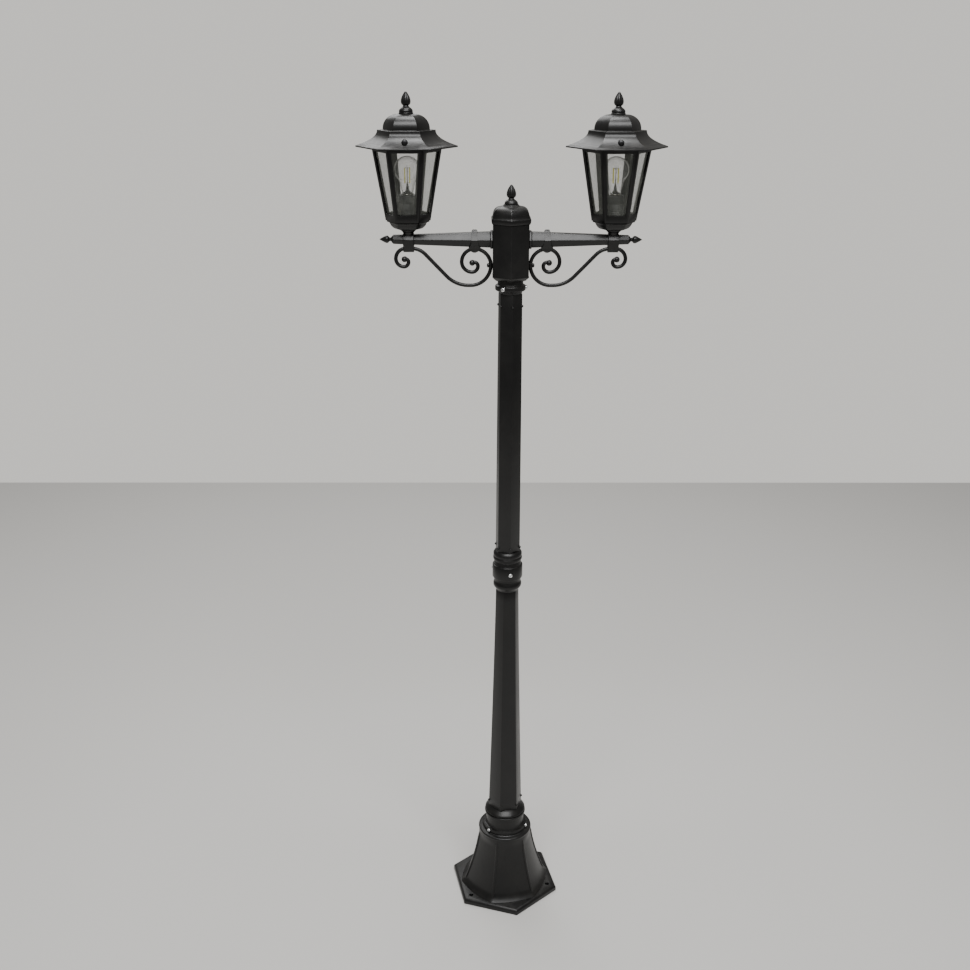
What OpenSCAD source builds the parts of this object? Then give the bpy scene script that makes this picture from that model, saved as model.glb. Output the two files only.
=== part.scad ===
// Twin-lantern lamp post in cast aluminium, standing on a hexagonal floor flange.
// The origin is at the centre of the flange's underside, +Z is up and the arms lie along X.

/* [Base casting] */
// Corner radius of the hexagonal floor flange
flange_r = 153; // [146:1:185]
// Thickness of the floor flange
flange_t = 16; // [12:1:22]
// Turn of the base and the lower post about the vertical, in degrees
base_turn = 12; // [0:1:59]
// Diameter of the circle that the anchor holes stand on
anchor_pcd = 254; // [250:1:270]
// Diameter of an anchor hole
anchor_hole_d = 11; // [8:0.5:14]
// Corner radius of the bell at the flange
bell_foot_r = 123; // [105:1:124]
// Corner radius of the bell at its top
bell_top_r = 72; // [68:1:84]
// Height of the bell above the flange
bell_h = 178; // [150:1:220]
// Wall of the hollow castings
cast_wall = 6; // [4:0.5:8]
// Radius of the collar that holds the set screws
collar_r = 60; // [56:0.5:66]
// Height of the collar above the bell
collar_h = 13; // [12:0.5:20]
// Radius of the neck above the collar
neck_r = 52; // [47:0.5:55]
// Height of the neck
neck_h = 33; // [25:1:40]
// Radius of the trim ring that sits on the neck
trim_r = 56; // [53:0.5:62]
// Height of the trim ring
trim_h = 26; // [20:1:32]

/* [Post] */
// Height of the lower post's tapered hexagon
lower_post_h = 664; // [500:1:900]
// Corner radius of the lower post at its foot
lower_foot_r = 46.6; // [45.5:0.1:50]
// Corner radius of the lower post at its top
lower_top_r = 30.3; // [29:0.1:33]
// Height of the upper post's hexagon
upper_post_h = 660; // [500:1:900]
// Corner radius of the upper post at its foot
upper_foot_r = 32.5; // [30:0.1:35]
// Corner radius of the upper post at its top
upper_top_r = 30; // [28:0.1:32]
// Turn of the upper post about the vertical, in degrees
upper_turn = 40; // [0:1:59]
// Radius of the spigot on the lower post's foot
foot_spigot_r = 40; // [36:0.5:42]
// Radius of the spigots that meet in the middle collar
mid_spigot_r = 24; // [22.5:0.1:24.8]
// Radius of the spigot at the upper post's top
top_spigot_r = 22; // [21:0.1:23.5]
// Radius of the cable way through the posts
cable_way_r = 19; // [12:0.5:20]
// Height of each ring of the middle collar
mid_ring_h = 28; // [24:1:34]
// Height of the sleeve between the two rings
mid_sleeve_h = 54; // [44:1:64]
// Largest radius of the middle collar
mid_collar_r = 38.5; // [36:0.5:44]
// Height of the collar under the lantern head
top_collar_h = 32; // [28:1:40]
// Largest radius of the collar under the lantern head
top_collar_r = 36; // [34:0.5:40]

/* [Head] */
// Size of the head casing across its flats
head_af = 83.5; // [76:0.5:101]
// Height of the head casing
head_h = 130; // [110:1:170]
// Height of the arms above the bottom of the head casing
arm_above_head = 93; // [70:1:102]
// Height of the cap
cap_h = 39; // [32:1:50]

/* [Arms] */
// Distance from the post's axis to a lantern's axis
arm_reach = 237; // [198:1:290]
// Height of an arm at the head
arm_root_t = 35; // [30:0.5:42]
// Height of an arm at its outer end
arm_end_t = 20; // [17:0.5:24]
// Length of arm beyond the lantern's axis
arm_overhang = 36; // [34:1:50]
// Radius of the arm's bored wire way
wire_way_r = 6; // [4:0.5:6.5]
// Radius of the scroll's round bar
bar_r = 4.5; // [3.5:0.1:5.2]
// Radius of the ball at each end of the scroll
eye_r = 7; // [6:0.1:8]

/* [Lantern] */
// Corner radius of the glazed frame at its foot
frame_foot_r = 51.8; // [49:0.1:58]
// Corner radius of the glazed frame at its top
frame_top_r = 79.6; // [77:0.1:84]
// Height of the glazed frame
frame_h = 162.4; // [155:0.1:200]
// Wall of the glazed frame
frame_wall = 2.5; // [2:0.1:3]
// Thickness of a glass pane
pane_t = 2; // [1.5:0.1:2.4]
// Corner radius of the roof at its eave
eave_r = 115.6; // [108:0.1:130]
// Corner radius of the roof's dome
dome_r = 53; // [45:0.5:60]
// Height of the roof from the eave to the finial's seat
roof_h = 71; // [64:0.5:84]
// Wall of the roof
roof_wall = 3.2; // [2.5:0.1:4]
// Radius of the lamp holder
holder_r = 21; // [19:0.5:24]
// Height of the lamp holder's body
holder_h = 61; // [48:1:66]
// Radius of the bulb's glass
bulb_r = 30; // [22.5:0.5:32]
// Radius of the bulb's screw shell
shell_r = 13.2; // [12:0.1:13.5]
// Travel that frees the bulb from its holder, four turns of the thread
bulb_travel = 14.5; // [10:0.5:16]

/* [Fits] */
// Radial clearance of the fixed joints
slack = 0.1; // [0.05:0.01:0.2]
// Radial clearance of the bulb's screw shell in its holder
running = 0.05; // [0.02:0.01:0.08]
// Radius of the set screws' shank
set_screw_r = 3; // [2.5:0.1:3.5]
// Radius of the roof screws' shank
roof_screw_r = 2; // [1.5:0.1:2.5]

/* [Hidden] */
$fn = 48;
hex_cos = cos(30);
black = [0.07, 0.07, 0.075];
zinc = [0.78, 0.79, 0.8];

// Heights, stacked from the floor up.
bell_top_z = flange_t + bell_h;
collar_top_z = bell_top_z + collar_h;
neck_top_z = collar_top_z + neck_h;
lower_z = neck_top_z + trim_h;
mid_z = lower_z + lower_post_h;
sleeve_z = mid_z + mid_ring_h;
upper_ring_z = sleeve_z + mid_sleeve_h;
upper_z = upper_ring_z + mid_ring_h;
top_z = upper_z + upper_post_h;
head_z = top_z + top_collar_h;
cap_z = head_z + head_h;
head_finial_z = cap_z + cap_h;
arm_z = head_z + arm_above_head;

// Base and post.
shelf_t = 10;
rim_h = 5;
blend_h = 30;
shelf_z = bell_top_z - 54;
spigot_z = shelf_z + shelf_t;
gland_r = 10;
cable_r = 5;
screw_count = 3;
screw_turn = 102;
mid_screw_turn = 40;
top_screw_turn = 0;
collar_screw_z = bell_top_z + collar_h / 2 + 0.8;
mid_screw_z = sleeve_z + 25;
top_screw_z = top_z + 14;
mid_joint_z = mid_z + (upper_z - mid_z) / 2;
bead_r = 2.6;

// Head and arms.
head_ap = head_af / 2;
head_r = head_ap / hex_cos;
head_floor_t = 10;
chamfer = 9;
root_plate_t = 6;
root_plate_af = 40;
arm_spigot_r = 9;
arm_spigot_in = 8;
arm_x = head_ap + root_plate_t;
arm_end_x = arm_reach + arm_overhang;
nut_t = 7;
nut_r = 14;
tip_stud_r = 4;
tip_stud_l = 14;
terminal = [36, 12, 33];
terminal_y = 18;
lead_r = 2.2;

// The scroll is drawn at unit size from these bend radii and lengths, then scaled to the arm.
foot_bend = 47;
foot_run = 6;
sweep_bend = 70;
sweep_angle = 46;
sweep_run = 71;
crest_bend = 44;
crest_run = 13;
inner_bend = 38;
scroll_past_axis = 6.5;
scroll_rise = (sweep_bend + crest_bend) * (1 - cos(sweep_angle)) + sweep_run * sin(sweep_angle) - foot_bend;
scroll_reach = foot_bend + foot_run + (sweep_bend + crest_bend) * sin(sweep_angle)
    + sweep_run * cos(sweep_angle) + crest_run;
scroll_x = head_ap + bar_r;
scroll_k = (arm_reach + scroll_past_axis - scroll_x) / scroll_reach;
clip_x = scroll_x + inner_bend * scroll_k;
clip_half = (arm_root_t - (arm_root_t - arm_end_t) * (clip_x - arm_x) / (arm_end_x - arm_x)) / 2;
inner_crest_z = arm_z - clip_half - bar_r - 1.1;
scroll_z = inner_crest_z - inner_bend * scroll_k;
crest_z = scroll_z + scroll_rise * scroll_k;
clip_w = 15;
saddle_w = 25;
scroll_bolt_r = 2.5;
scroll_bolt_head_r = 5;
scroll_bolt_gap = 0.4;
scroll_boss_proud = 0.5;
scroll_boss_h = 11;

// Lantern, from its seat on the saddle up.
seat_z = arm_z + 24;
saddle_waist_r = 11.6;
saddle_top_r = 17.5;
bowl_h = 19.6;
bowl_wall = 3;
bowl_floor_t = 4;
frame_z = seat_z + bowl_h;
frame_top_z = frame_z + frame_h;
lean = atan((frame_top_r - frame_foot_r) * hex_cos / frame_h);
bottom_rail = 16;
top_rail = 9;
leaf_foot = 7;
leaf_top = 8.7;
pane_foot = 1;
eave_band = 3;
ledge_h = 37;
ledge_r = dome_r + 13;
roof_top_z = frame_top_z + roof_h;
dome_seat_r = 20;
skirt_in_r = 72;
skirt_out_r = frame_top_r - 0.6;
skirt_h = 15.5;
roof_screw_z = frame_top_z + 15;
boss_r = 7;
boss_y = 76;
roof_screw_head_r = 6;
tab_t = 3;
tab_w = 18;
tab_gap = 0.45;
tab_y = skirt_in_r * hex_cos - tab_gap - tab_t;
tab_top_z = frame_top_z + 17.5;
roof_nut_t = 3.2;
roof_nut_r = 4;
nut_gap = 0.3;
finial_stud_r = 4;
finial_stud_l = 10;

// Lamp holder and bulb.
foot_r = 15;
foot_h = 12;
holder_z = seat_z + bowl_floor_t + foot_h;
holder_top_z = holder_z + holder_h;
shell_h = 24;
shell_lip_h = 1.6;
shell_wall = 0.8;
contact_h = 2.4;
tip_gap = 0.1;
shell_z = holder_top_z - shell_h + shell_lip_h / 2;
contact_z = shell_z - contact_h - tip_gap;
socket_z = contact_z - tip_gap;
neck_z = shell_z + shell_h + shell_lip_h;
bulb_wall = 1;
bulb_neck_r = 13;
bulb_c_z = neck_z + 23.5 + bulb_r;

SIDE_NODES = ["arm", "arm_plate", "arm_tip", "scroll", "scroll_clip", "scroll_bolt", "saddle", "bowl",
    "frame", "panes", "lamp_holder", "bulb_glass", "bulb_filaments", "bulb_shell", "bulb_contact",
    "roof", "roof_finial", "roof_screws", "roof_nuts", "lead"];
POST_NODES = ["base_casting", "base_screws", "base_gland", "trim_ring", "lower_post", "mid_lower_ring",
    "mid_sleeve", "mid_screws", "mid_upper_ring", "upper_post", "top_collar", "top_screws",
    "head_casing", "head_cap", "head_finial", "arm_nuts", "terminal_block", "supply_cable"];

// ---- Shapes that repeat ----

function reversed(list) = [for (i = [len(list) - 1:-1:0]) list[i]];

// A closed outline of [radius, height] points turned about Z with six flat sides.
module hex_turned(outline, turn = 0) rotate([0, 0, turn]) rotate_extrude($fn = 6) polygon(outline);

// A closed outline of [radius, height] points turned about Z.
module turned(outline, fn = 64) rotate_extrude($fn = fn) polygon(outline);

// Copies of the children round the Z axis.
module around(count, turn = 0) for (i = [0:count - 1]) rotate([0, 0, turn + i * 360 / count]) children();

// A straight rod along +X from x1 to x2.
module rod_x(r, x1, x2) translate([x1, 0, 0]) rotate([0, 90, 0]) cylinder(h = x2 - x1, r = r);

// A button-headed set screw on +X: its shank ends at x1 and its head sits at x2.
module set_screw(x1, x2, z) translate([0, 0, z]) difference() {
    union() {
        rod_x(set_screw_r, x1, x2 + 1);
        rod_x(set_screw_r + 2.2, x2, x2 + 3);
        rod_x(set_screw_r + 1.2, x2 + 3, x2 + 3.8);
    }
    translate([x2 + 1.4, 0, 0]) rotate([0, 90, 0]) cylinder(h = 4, r = 1.8, $fn = 6);
}

// Bored holes for the set screws of a collar.
module screw_bores(turn, z, x1, x2)
    around(screw_count, turn) translate([0, 0, z]) rod_x(set_screw_r + slack, x1, x2);

// The acorn finial with its threaded stud.
module finial() {
    turned([[0, -finial_stud_l], [finial_stud_r, -finial_stud_l], [finial_stud_r, 0], [16.5, 0], [16.5, 2],
        [14.2, 3], [14.6, 5], [14, 8], [12, 11.5], [9, 14], [6, 15.5], [5.4, 18], [6, 20.5], [8.4, 22.5],
        [10.2, 26], [10.4, 29.5], [9.6, 33.5], [7.8, 38], [5.2, 42.5], [2.2, 46.6], [0, 48]], 40);
}

// The points of a path in a plane that starts at p with heading a, in degrees. Each step is
// [bend radius, degrees], left turns positive, or [0, length] for a straight stretch.
bend_step = 11;
function along(p, a, step, t) = step[0] == 0
    ? p + t * step[1] * [cos(a), sin(a)]
    : let (side = sign(step[1]), c = p + side * step[0] * [-sin(a), cos(a)], b = a + t * step[1])
        c + side * step[0] * [sin(b), -cos(b)];
function bends(p, a, steps, i = 0) = i == len(steps) ? [] : let (
        n = steps[i][0] == 0 ? 1 : ceil(abs(steps[i][1]) / bend_step),
        turn = steps[i][0] == 0 ? 0 : steps[i][1])
    concat([for (k = [1:n]) along(p, a, steps[i], k / n)],
        bends(along(p, a, steps[i], 1), a + turn, steps, i + 1));

// A round lead swept along a list of points.
function unit(v) = v / norm(v);
function heading(p, i) = unit(p[min(i + 1, len(p) - 1)] - p[max(i - 1, 0)]);
function ring(p, i, r, n, side) = let (t = heading(p, i), u = unit(cross(t, side)), v = cross(t, u))
    [for (k = [0:n - 1]) p[i] + r * (cos(360 * k / n) * u + sin(360 * k / n) * v)];
module swept(p, r, n = 8, side = [1, 1, 1]) {
    last = (len(p) - 1) * n;
    polyhedron(
        points = [for (i = [0:len(p) - 1]) each ring(p, i, r, n, side)],
        faces = concat([[for (k = [0:n - 1]) k]], [[for (k = [n - 1:-1:0]) last + k]],
            [for (i = [0:len(p) - 2], k = [0:n - 1])
                [i * n + k, i * n + n + k, i * n + n + (k + 1) % n, i * n + (k + 1) % n]]));
}

// ---- Base ----

function bell_r(s) = bell_top_r + (bell_foot_r - bell_top_r) * pow(1 - s, 1.55);
bell_steps = 14;
bell_z = flange_t + 2;
bell_line = [for (i = [0:bell_steps]) [bell_r(i / bell_steps), bell_z + (bell_top_z - bell_z) * i / bell_steps]];

module bell_rib() {
    rib_w = 7;
    rib_proud = 3.2;
    rotate([90, 0, 0]) linear_extrude(height = rib_w, center = true) polygon(concat(
        [for (p = bell_line) if (p[1] < bell_top_z - 30) [p[0] + rib_proud, p[1]]],
        [[bell_top_r - 1, bell_top_z - 12], [bell_top_r - 6, flange_t - 1],
            [bell_foot_r + rib_proud, flange_t - 1]]));
}

module base_casting() color(black) difference() {
    union() {
        hex_turned([[0, 0], [flange_r, 0], [flange_r, flange_t - 5], [flange_r - 4, flange_t - 1],
            [flange_r - 8, flange_t], [0, flange_t]], base_turn + 30);
        hex_turned(concat([[0, flange_t - 1], [bell_foot_r, flange_t - 1]], bell_line, [[0, bell_top_z]]), base_turn);
        around(6, base_turn) bell_rib();
        hull() {
            translate([0, 0, bell_top_z - blend_h]) rotate([0, 0, base_turn]) cylinder(h = 1, r = bell_top_r, $fn = 6);
            translate([0, 0, bell_top_z - rim_h - 0.5]) cylinder(h = 1, r = bell_top_r + 0.2, $fn = 36);
        }
        turned([[0, bell_top_z - rim_h], [bell_top_r + 0.8, bell_top_z - rim_h],
            [bell_top_r + 0.8, bell_top_z - 2], [bell_top_r - 1.2, bell_top_z], [collar_r + 2, bell_top_z + 1],
            [collar_r, bell_top_z + 2], [collar_r, collar_top_z - 1.5], [collar_r - 1.5, collar_top_z],
            [neck_r + 2, collar_top_z], [neck_r, collar_top_z + 3], [neck_r, neck_top_z], [0, neck_top_z]]);
    }
    hex_turned(concat([[0, -1], [bell_foot_r - cast_wall, -1]],
        [for (p = bell_line) if (p[1] < shelf_z) [p[0] - cast_wall / hex_cos, p[1]]],
        [[bell_top_r - cast_wall / hex_cos - 2, shelf_z], [0, shelf_z]]), base_turn);
    cylinder(h = spigot_z + 1, r = gland_r + slack);
    translate([0, 0, spigot_z]) cylinder(h = neck_top_z, r = foot_spigot_r + slack, $fn = 64);
    around(screw_count, screw_turn) translate([anchor_pcd / 2, 0, -1]) cylinder(h = flange_t + 2, d = anchor_hole_d);
    screw_bores(screw_turn, collar_screw_z, foot_spigot_r - 2, collar_r + 5);
}

module base_screws() color(zinc) around(screw_count, screw_turn)
    set_screw(foot_spigot_r + slack, collar_r, collar_screw_z);

module base_gland() color("dimgray") difference() {
    union() {
        translate([0, 0, shelf_z - 8]) cylinder(h = 8, r = gland_r + 4.5, $fn = 6);
        translate([0, 0, shelf_z - 1]) cylinder(h = shelf_t + 7, r = gland_r);
    }
    translate([0, 0, shelf_z - 9]) cylinder(h = shelf_t + 20, r = cable_r + slack);
}

module trim_ring() color(black) translate([0, 0, neck_top_z]) {
    bore = foot_spigot_r + slack;
    turned([[bore, 0], [trim_r - 1, 0], [trim_r, 1.5], [trim_r, 6], [trim_r - 1.5, 7.5], [trim_r - 4, 8.2],
        [trim_r - 3.5, 9.5], [trim_r - 1, 11], [trim_r - 1, 12.5], [trim_r - 2, 14], [trim_r - 9, trim_h],
        [bore, trim_h]]);
}

// ---- Post ----

module post_beads(corner_r, z, turn) around(6, turn) translate([corner_r - 0.6, 0, z]) sphere(r = bead_r, $fn = 10);

function lower_r(s) = lower_top_r + (lower_foot_r - lower_top_r) * pow(1 - s, 1.15);

module lower_post() color(black) difference() {
    union() {
        hex_turned(concat([[0, lower_z]], [for (i = [0:8]) [lower_r(i / 8), lower_z + lower_post_h * i / 8]],
            [[0, mid_z]]), base_turn);
        post_beads(lower_r(0.02), lower_z + 15, base_turn);
        translate([0, 0, spigot_z]) cylinder(h = lower_z - spigot_z + 1, r = foot_spigot_r, $fn = 64);
        translate([0, 0, mid_z - 1]) cylinder(h = mid_joint_z - mid_z + 1, r = mid_spigot_r);
    }
    translate([0, 0, spigot_z - 1]) cylinder(h = mid_joint_z, r = cable_way_r);
}

module mid_lower_ring() color(black) translate([0, 0, mid_z]) {
    bore = mid_spigot_r + slack;
    turned([[bore, 0], [mid_collar_r - 9, 0], [mid_collar_r - 7, 5], [mid_collar_r - 3.5, 10],
        [mid_collar_r - 2.3, 14.5], [mid_collar_r - 2.3, 18], [mid_collar_r - 3.4, 21.5],
        [mid_collar_r - 4.8, 24], [mid_collar_r - 4.8, mid_ring_h], [bore, mid_ring_h]]);
}

module mid_sleeve() color(black) difference() {
    translate([0, 0, sleeve_z]) turned([[mid_spigot_r + slack, 0], [mid_collar_r - 4, 0],
        [mid_collar_r - 3.8, 7], [mid_collar_r - 0.8, 8], [mid_collar_r, 10], [mid_collar_r, mid_sleeve_h - 13],
        [mid_collar_r - 0.8, mid_sleeve_h - 11], [mid_collar_r - 3.8, mid_sleeve_h - 10],
        [mid_collar_r - 4, mid_sleeve_h], [mid_spigot_r + slack, mid_sleeve_h]]);
    screw_bores(mid_screw_turn, mid_screw_z, mid_spigot_r - 2, mid_collar_r + 5);
}

module mid_screws() color(zinc) around(screw_count, mid_screw_turn)
    set_screw(mid_spigot_r + slack, mid_collar_r, mid_screw_z);

module mid_upper_ring() color(black) translate([0, 0, upper_ring_z]) {
    bore = mid_spigot_r + slack;
    turned([[bore, 0], [mid_collar_r - 4, 0], [mid_collar_r - 3.4, 3], [mid_collar_r - 1.6, 5],
        [mid_collar_r - 1.5, 9.5], [mid_collar_r - 3.2, 12], [mid_collar_r - 3.2, 13.5],
        [mid_collar_r - 2, 16], [mid_collar_r - 2.2, 21], [mid_collar_r - 4.4, mid_ring_h - 3],
        [mid_collar_r - 7.5, mid_ring_h], [bore, mid_ring_h]]);
}

module upper_post() color(black) difference() {
    union() {
        hex_turned([[0, upper_z], [upper_foot_r, upper_z], [(upper_foot_r + upper_top_r) / 2, upper_z + upper_post_h * 0.6],
            [upper_top_r, top_z], [0, top_z]], upper_turn);
        post_beads(upper_foot_r, upper_z + 11, upper_turn);
        post_beads(upper_top_r, top_z - 29, upper_turn);
        translate([0, 0, mid_joint_z]) cylinder(h = upper_z - mid_joint_z + 1, r = mid_spigot_r);
        translate([0, 0, top_z - 1]) cylinder(h = top_collar_h + head_floor_t + 1, r = top_spigot_r);
    }
    translate([0, 0, mid_joint_z - 1]) cylinder(h = head_z, r = cable_way_r);
}

module top_collar() color(black) difference() {
    bore = top_spigot_r + slack;
    translate([0, 0, top_z]) turned([[bore, 0], [top_collar_r - 8.5, 0], [top_collar_r - 7.5, 5],
        [top_collar_r - 2, 7.5], [top_collar_r, 10.5], [top_collar_r, 17.5], [top_collar_r - 2, 20],
        [top_collar_r - 5, 21.5], [top_collar_r - 6, 25], [top_collar_r - 5, top_collar_h],
        [bore, top_collar_h]]);
    screw_bores(top_screw_turn, top_screw_z, top_spigot_r - 2, top_collar_r + 5);
}

module top_screws() color(zinc) around(screw_count, top_screw_turn)
    set_screw(top_spigot_r + slack, top_collar_r, top_screw_z);

// ---- Head ----

module head_casing() color(black) difference() {
    hex_turned([[0, head_z], [head_r - chamfer, head_z], [head_r, head_z + chamfer], [head_r, cap_z], [0, cap_z]], 30);
    translate([0, 0, head_z + head_floor_t]) rotate([0, 0, 30])
        cylinder(h = head_h, r = (head_ap - cast_wall) / hex_cos, $fn = 6);
    translate([0, 0, head_z - 1]) cylinder(h = head_floor_t + 2, r = top_spigot_r + slack);
    for (x = [-1, 1]) scale([x, 1, 1]) {
        translate([0, 0, arm_z]) rod_x(arm_spigot_r + slack, head_ap - cast_wall - 2, head_ap + 2);
        translate([0, 0, scroll_z]) rod_x(scroll_bolt_r + slack, head_ap - cast_wall - 2, head_ap + 2);
    }
}

module head_cap() color(black) {
    plug_r = (head_ap - cast_wall - 0.5) / hex_cos;
    difference() {
        union() {
            hex_turned([[0, cap_z], [head_r + 1, cap_z], [head_r + 3.2, cap_z + 3], [head_r + 4.6, cap_z + 11],
                [head_r + 3, cap_z + 13], [head_r + 0.6, cap_z + 17], [head_r - 1, cap_z + cap_h * 0.64],
                [head_r - 3, cap_z + cap_h * 0.79], [head_r - 8, cap_z + cap_h * 0.91],
                [head_r - 17, cap_z + cap_h * 0.98], [dome_seat_r, cap_z + cap_h], [0, cap_z + cap_h]], 30);
            translate([0, 0, cap_z - 8]) rotate([0, 0, 30]) cylinder(h = 9, r = plug_r, $fn = 6);
        }
        translate([0, 0, cap_z - 9]) rotate([0, 0, 30]) cylinder(h = cap_h - 5, r = plug_r - cast_wall, $fn = 6);
        translate([0, 0, cap_z]) cylinder(h = cap_h + 2, r = finial_stud_r + slack);
    }
}

module head_finial() color(black) translate([0, 0, head_finial_z]) finial();

module arm_nuts() color(zinc) for (x = [-1, 1]) scale([x, 1, 1]) translate([head_ap - cast_wall - nut_t, 0, arm_z])
    rotate([0, 90, 0]) difference() {
        cylinder(h = nut_t, r = nut_r, $fn = 6);
        translate([0, 0, -1]) cylinder(h = nut_t + 2, r = arm_spigot_r + slack);
    }

module terminal_block() color("whitesmoke") translate([0, terminal_y, head_z + head_floor_t]) difference() {
    translate([-terminal[0] / 2, 0, 0]) cube(terminal);
    for (x = [-12, 0, 12]) translate([x, 6, terminal[2] - 6]) cylinder(h = 8, r = 2.4);
}

module supply_cable() color("black") {
    bend = 12;
    rise = head_z + head_floor_t + 6;
    translate([0, 0, shelf_z - 8]) cylinder(h = rise - shelf_z + 8, r = cable_r, $fn = 24);
    translate([0, bend, rise]) rotate([0, -90, 0]) rotate([0, 0, -90])
        rotate_extrude(angle = 90, $fn = 96) translate([bend, 0]) circle(r = cable_r, $fn = 24);
    translate([0, bend, rise + bend]) rotate([-90, 0, 0]) cylinder(h = terminal_y - bend, r = cable_r, $fn = 24);
}

// ---- Arms, drawn on the +X side ----

// The tapered six-sided bar, with an allowance all round.
module arm_bar(grow = 0, x1 = arm_x, x2 = arm_end_x) hull() for (p = [[x1, arm_root_t], [x2, arm_end_t]])
    translate([p[0], 0, arm_z]) rotate([0, 90, 0]) rotate([0, 0, 90])
        translate([0, 0, p[0] == x1 ? 0 : -0.5]) cylinder(h = 0.5, r = (p[1] / 2 + grow) / hex_cos, $fn = 6);

module arm() color(black) difference() {
    union() {
        arm_bar();
        translate([0, 0, arm_z]) rod_x(arm_spigot_r, head_ap - cast_wall - arm_spigot_in, arm_x + 1);
    }
    translate([0, 0, arm_z]) rod_x(wire_way_r, 0, arm_reach + wire_way_r);
    translate([arm_reach, 0, arm_z]) cylinder(h = arm_root_t, r = wire_way_r);
    translate([0, 0, arm_z]) rod_x(tip_stud_r + slack, arm_end_x - tip_stud_l - 1, arm_end_x + 1);
}

module arm_plate() color(black) translate([head_ap, 0, arm_z]) rotate([0, 90, 0]) difference() {
    rotate([0, 0, 90]) cylinder(h = root_plate_t, r = root_plate_af / 2 / hex_cos, $fn = 6);
    translate([0, 0, -1]) cylinder(h = root_plate_t + 2, r = arm_spigot_r + slack);
}

module arm_tip() color(black) translate([arm_end_x, 0, arm_z]) rotate([0, 90, 0])
    turned([[0, -tip_stud_l], [tip_stud_r, -tip_stud_l], [tip_stud_r, 0], [8.6, 0], [8.6, 1.5], [5, 4], [4.2, 6.5],
        [5, 8.5], [7.6, 10.5], [8.6, 13], [8.4, 16], [6.4, 20.5], [3.2, 26.5], [0.8, 30.6], [0, 31]], 32);

// The centreline of the scroll's bar in the XZ plane, from the inner eye to the outer one.
scroll_line = let (k = scroll_k, foot = [scroll_x, scroll_z]) concat(
    reversed(bends(foot, 90, [[inner_bend * k, -90], [30 * k, -90], [24 * k, -90], [14 * k, -90], [9 * k, -120]])),
    [foot],
    bends(foot, -90, [[foot_bend * k, 90], [0, foot_run * k], [sweep_bend * k, sweep_angle], [0, sweep_run * k],
        [crest_bend * k, -sweep_angle], [0, crest_run * k], [24 * k, -90], [18.5 * k, -90], [11 * k, -90],
        [7 * k, -110]]));

module scroll() color(black) difference() {
    union() {
        swept([for (p = scroll_line) [p[0], 0, p[1]]], bar_r, 10, [0, 1, 0]);
        for (end = [scroll_line[0], scroll_line[len(scroll_line) - 1]]) translate([end[0], 0, end[1]])
            sphere(r = eye_r, $fn = 24);
        translate([scroll_x, 0, scroll_z]) cylinder(h = scroll_boss_h, r = bar_r + scroll_boss_proud, center = true);
    }
    translate([0, 0, scroll_z]) rod_x(scroll_bolt_r + slack, scroll_x - bar_r - 1, scroll_x + bar_r + 1);
    translate([head_ap - 4.95, -20, scroll_z - 8]) cube([5, 40, 16]);
}

// An outline in the YZ plane, extruded by w about x.
module cross_plate(outline, x, w) translate([x - w / 2, 0, 0]) rotate([90, 0, 90]) linear_extrude(height = w) polygon(outline);

module scroll_clip() color(black) difference() {
    half = clip_half;
    cross_plate([[0, arm_z + half + 7], [half * 0.5, arm_z + half + 4], [half + 7, arm_z], [half * 0.6, arm_z - half - 3],
        [7.5, inner_crest_z - bar_r - 1], [0, inner_crest_z - bar_r - 5], [-7.5, inner_crest_z - bar_r - 1],
        [-half * 0.6, arm_z - half - 3], [-half - 7, arm_z], [-half * 0.5, arm_z + half + 4]], clip_x, clip_w);
    arm_bar(slack);
    translate([clip_x - clip_w, -bar_r - 0.3, inner_crest_z - bar_r - 1.4]) cube([2 * clip_w, 2 * bar_r + 0.6, 2 * bar_r + 1.7]);
}

module scroll_bolt() color(black) translate([0, 0, scroll_z]) {
    seat = scroll_x + bar_r + scroll_bolt_gap;
    rod_x(scroll_bolt_r, head_ap - cast_wall - 5, seat + 1);
    rod_x(scroll_bolt_head_r, seat, seat + 3.5);
    rod_x(scroll_bolt_head_r - 1.6, seat + 3.5, seat + 4.6);
    rod_x(scroll_bolt_head_r, head_ap - cast_wall - 4, head_ap - cast_wall);
}

module saddle() color(black) difference() {
    half = (arm_root_t - (arm_root_t - arm_end_t) * (arm_reach - arm_x) / (arm_end_x - arm_x)) / 2;
    union() {
        cross_plate([[9, arm_z + half + 2.5], [half + 5, arm_z], [9, crest_z + 1], [7, crest_z - bar_r - 2],
            [0, crest_z - bar_r - 4.5], [-7, crest_z - bar_r - 2], [-9, crest_z + 1], [-half - 5, arm_z],
            [-9, arm_z + half + 2.5]], arm_reach, saddle_w);
        translate([arm_reach, 0, 0]) turned([[0, arm_z + half - 1], [saddle_waist_r, arm_z + half - 1],
            [saddle_waist_r, arm_z + half + 1], [saddle_waist_r + 0.6, seat_z - 9], [saddle_waist_r + 3, seat_z - 6],
            [saddle_top_r, seat_z - 2.5], [saddle_top_r, seat_z], [0, seat_z]], 40);
    }
    arm_bar(slack);
    translate([arm_reach, 0, arm_z]) cylinder(h = 60, r = wire_way_r);
    translate([arm_reach - saddle_w, -bar_r - 0.3, crest_z - bar_r - 1.3]) cube([2 * saddle_w, 2 * bar_r + 0.6, 2 * bar_r + 1.6]);
}

// ---- Lanterns, drawn on the +X side ----

module at_lantern() translate([arm_reach, 0, 0]) children();

function bowl_line(t) = [[28 - t, seat_z], [34 - t, seat_z + 2], [39 - t, seat_z + 6.5], [42 - t, seat_z + 11.5],
    [44.5 - t, seat_z + 15]];

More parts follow.
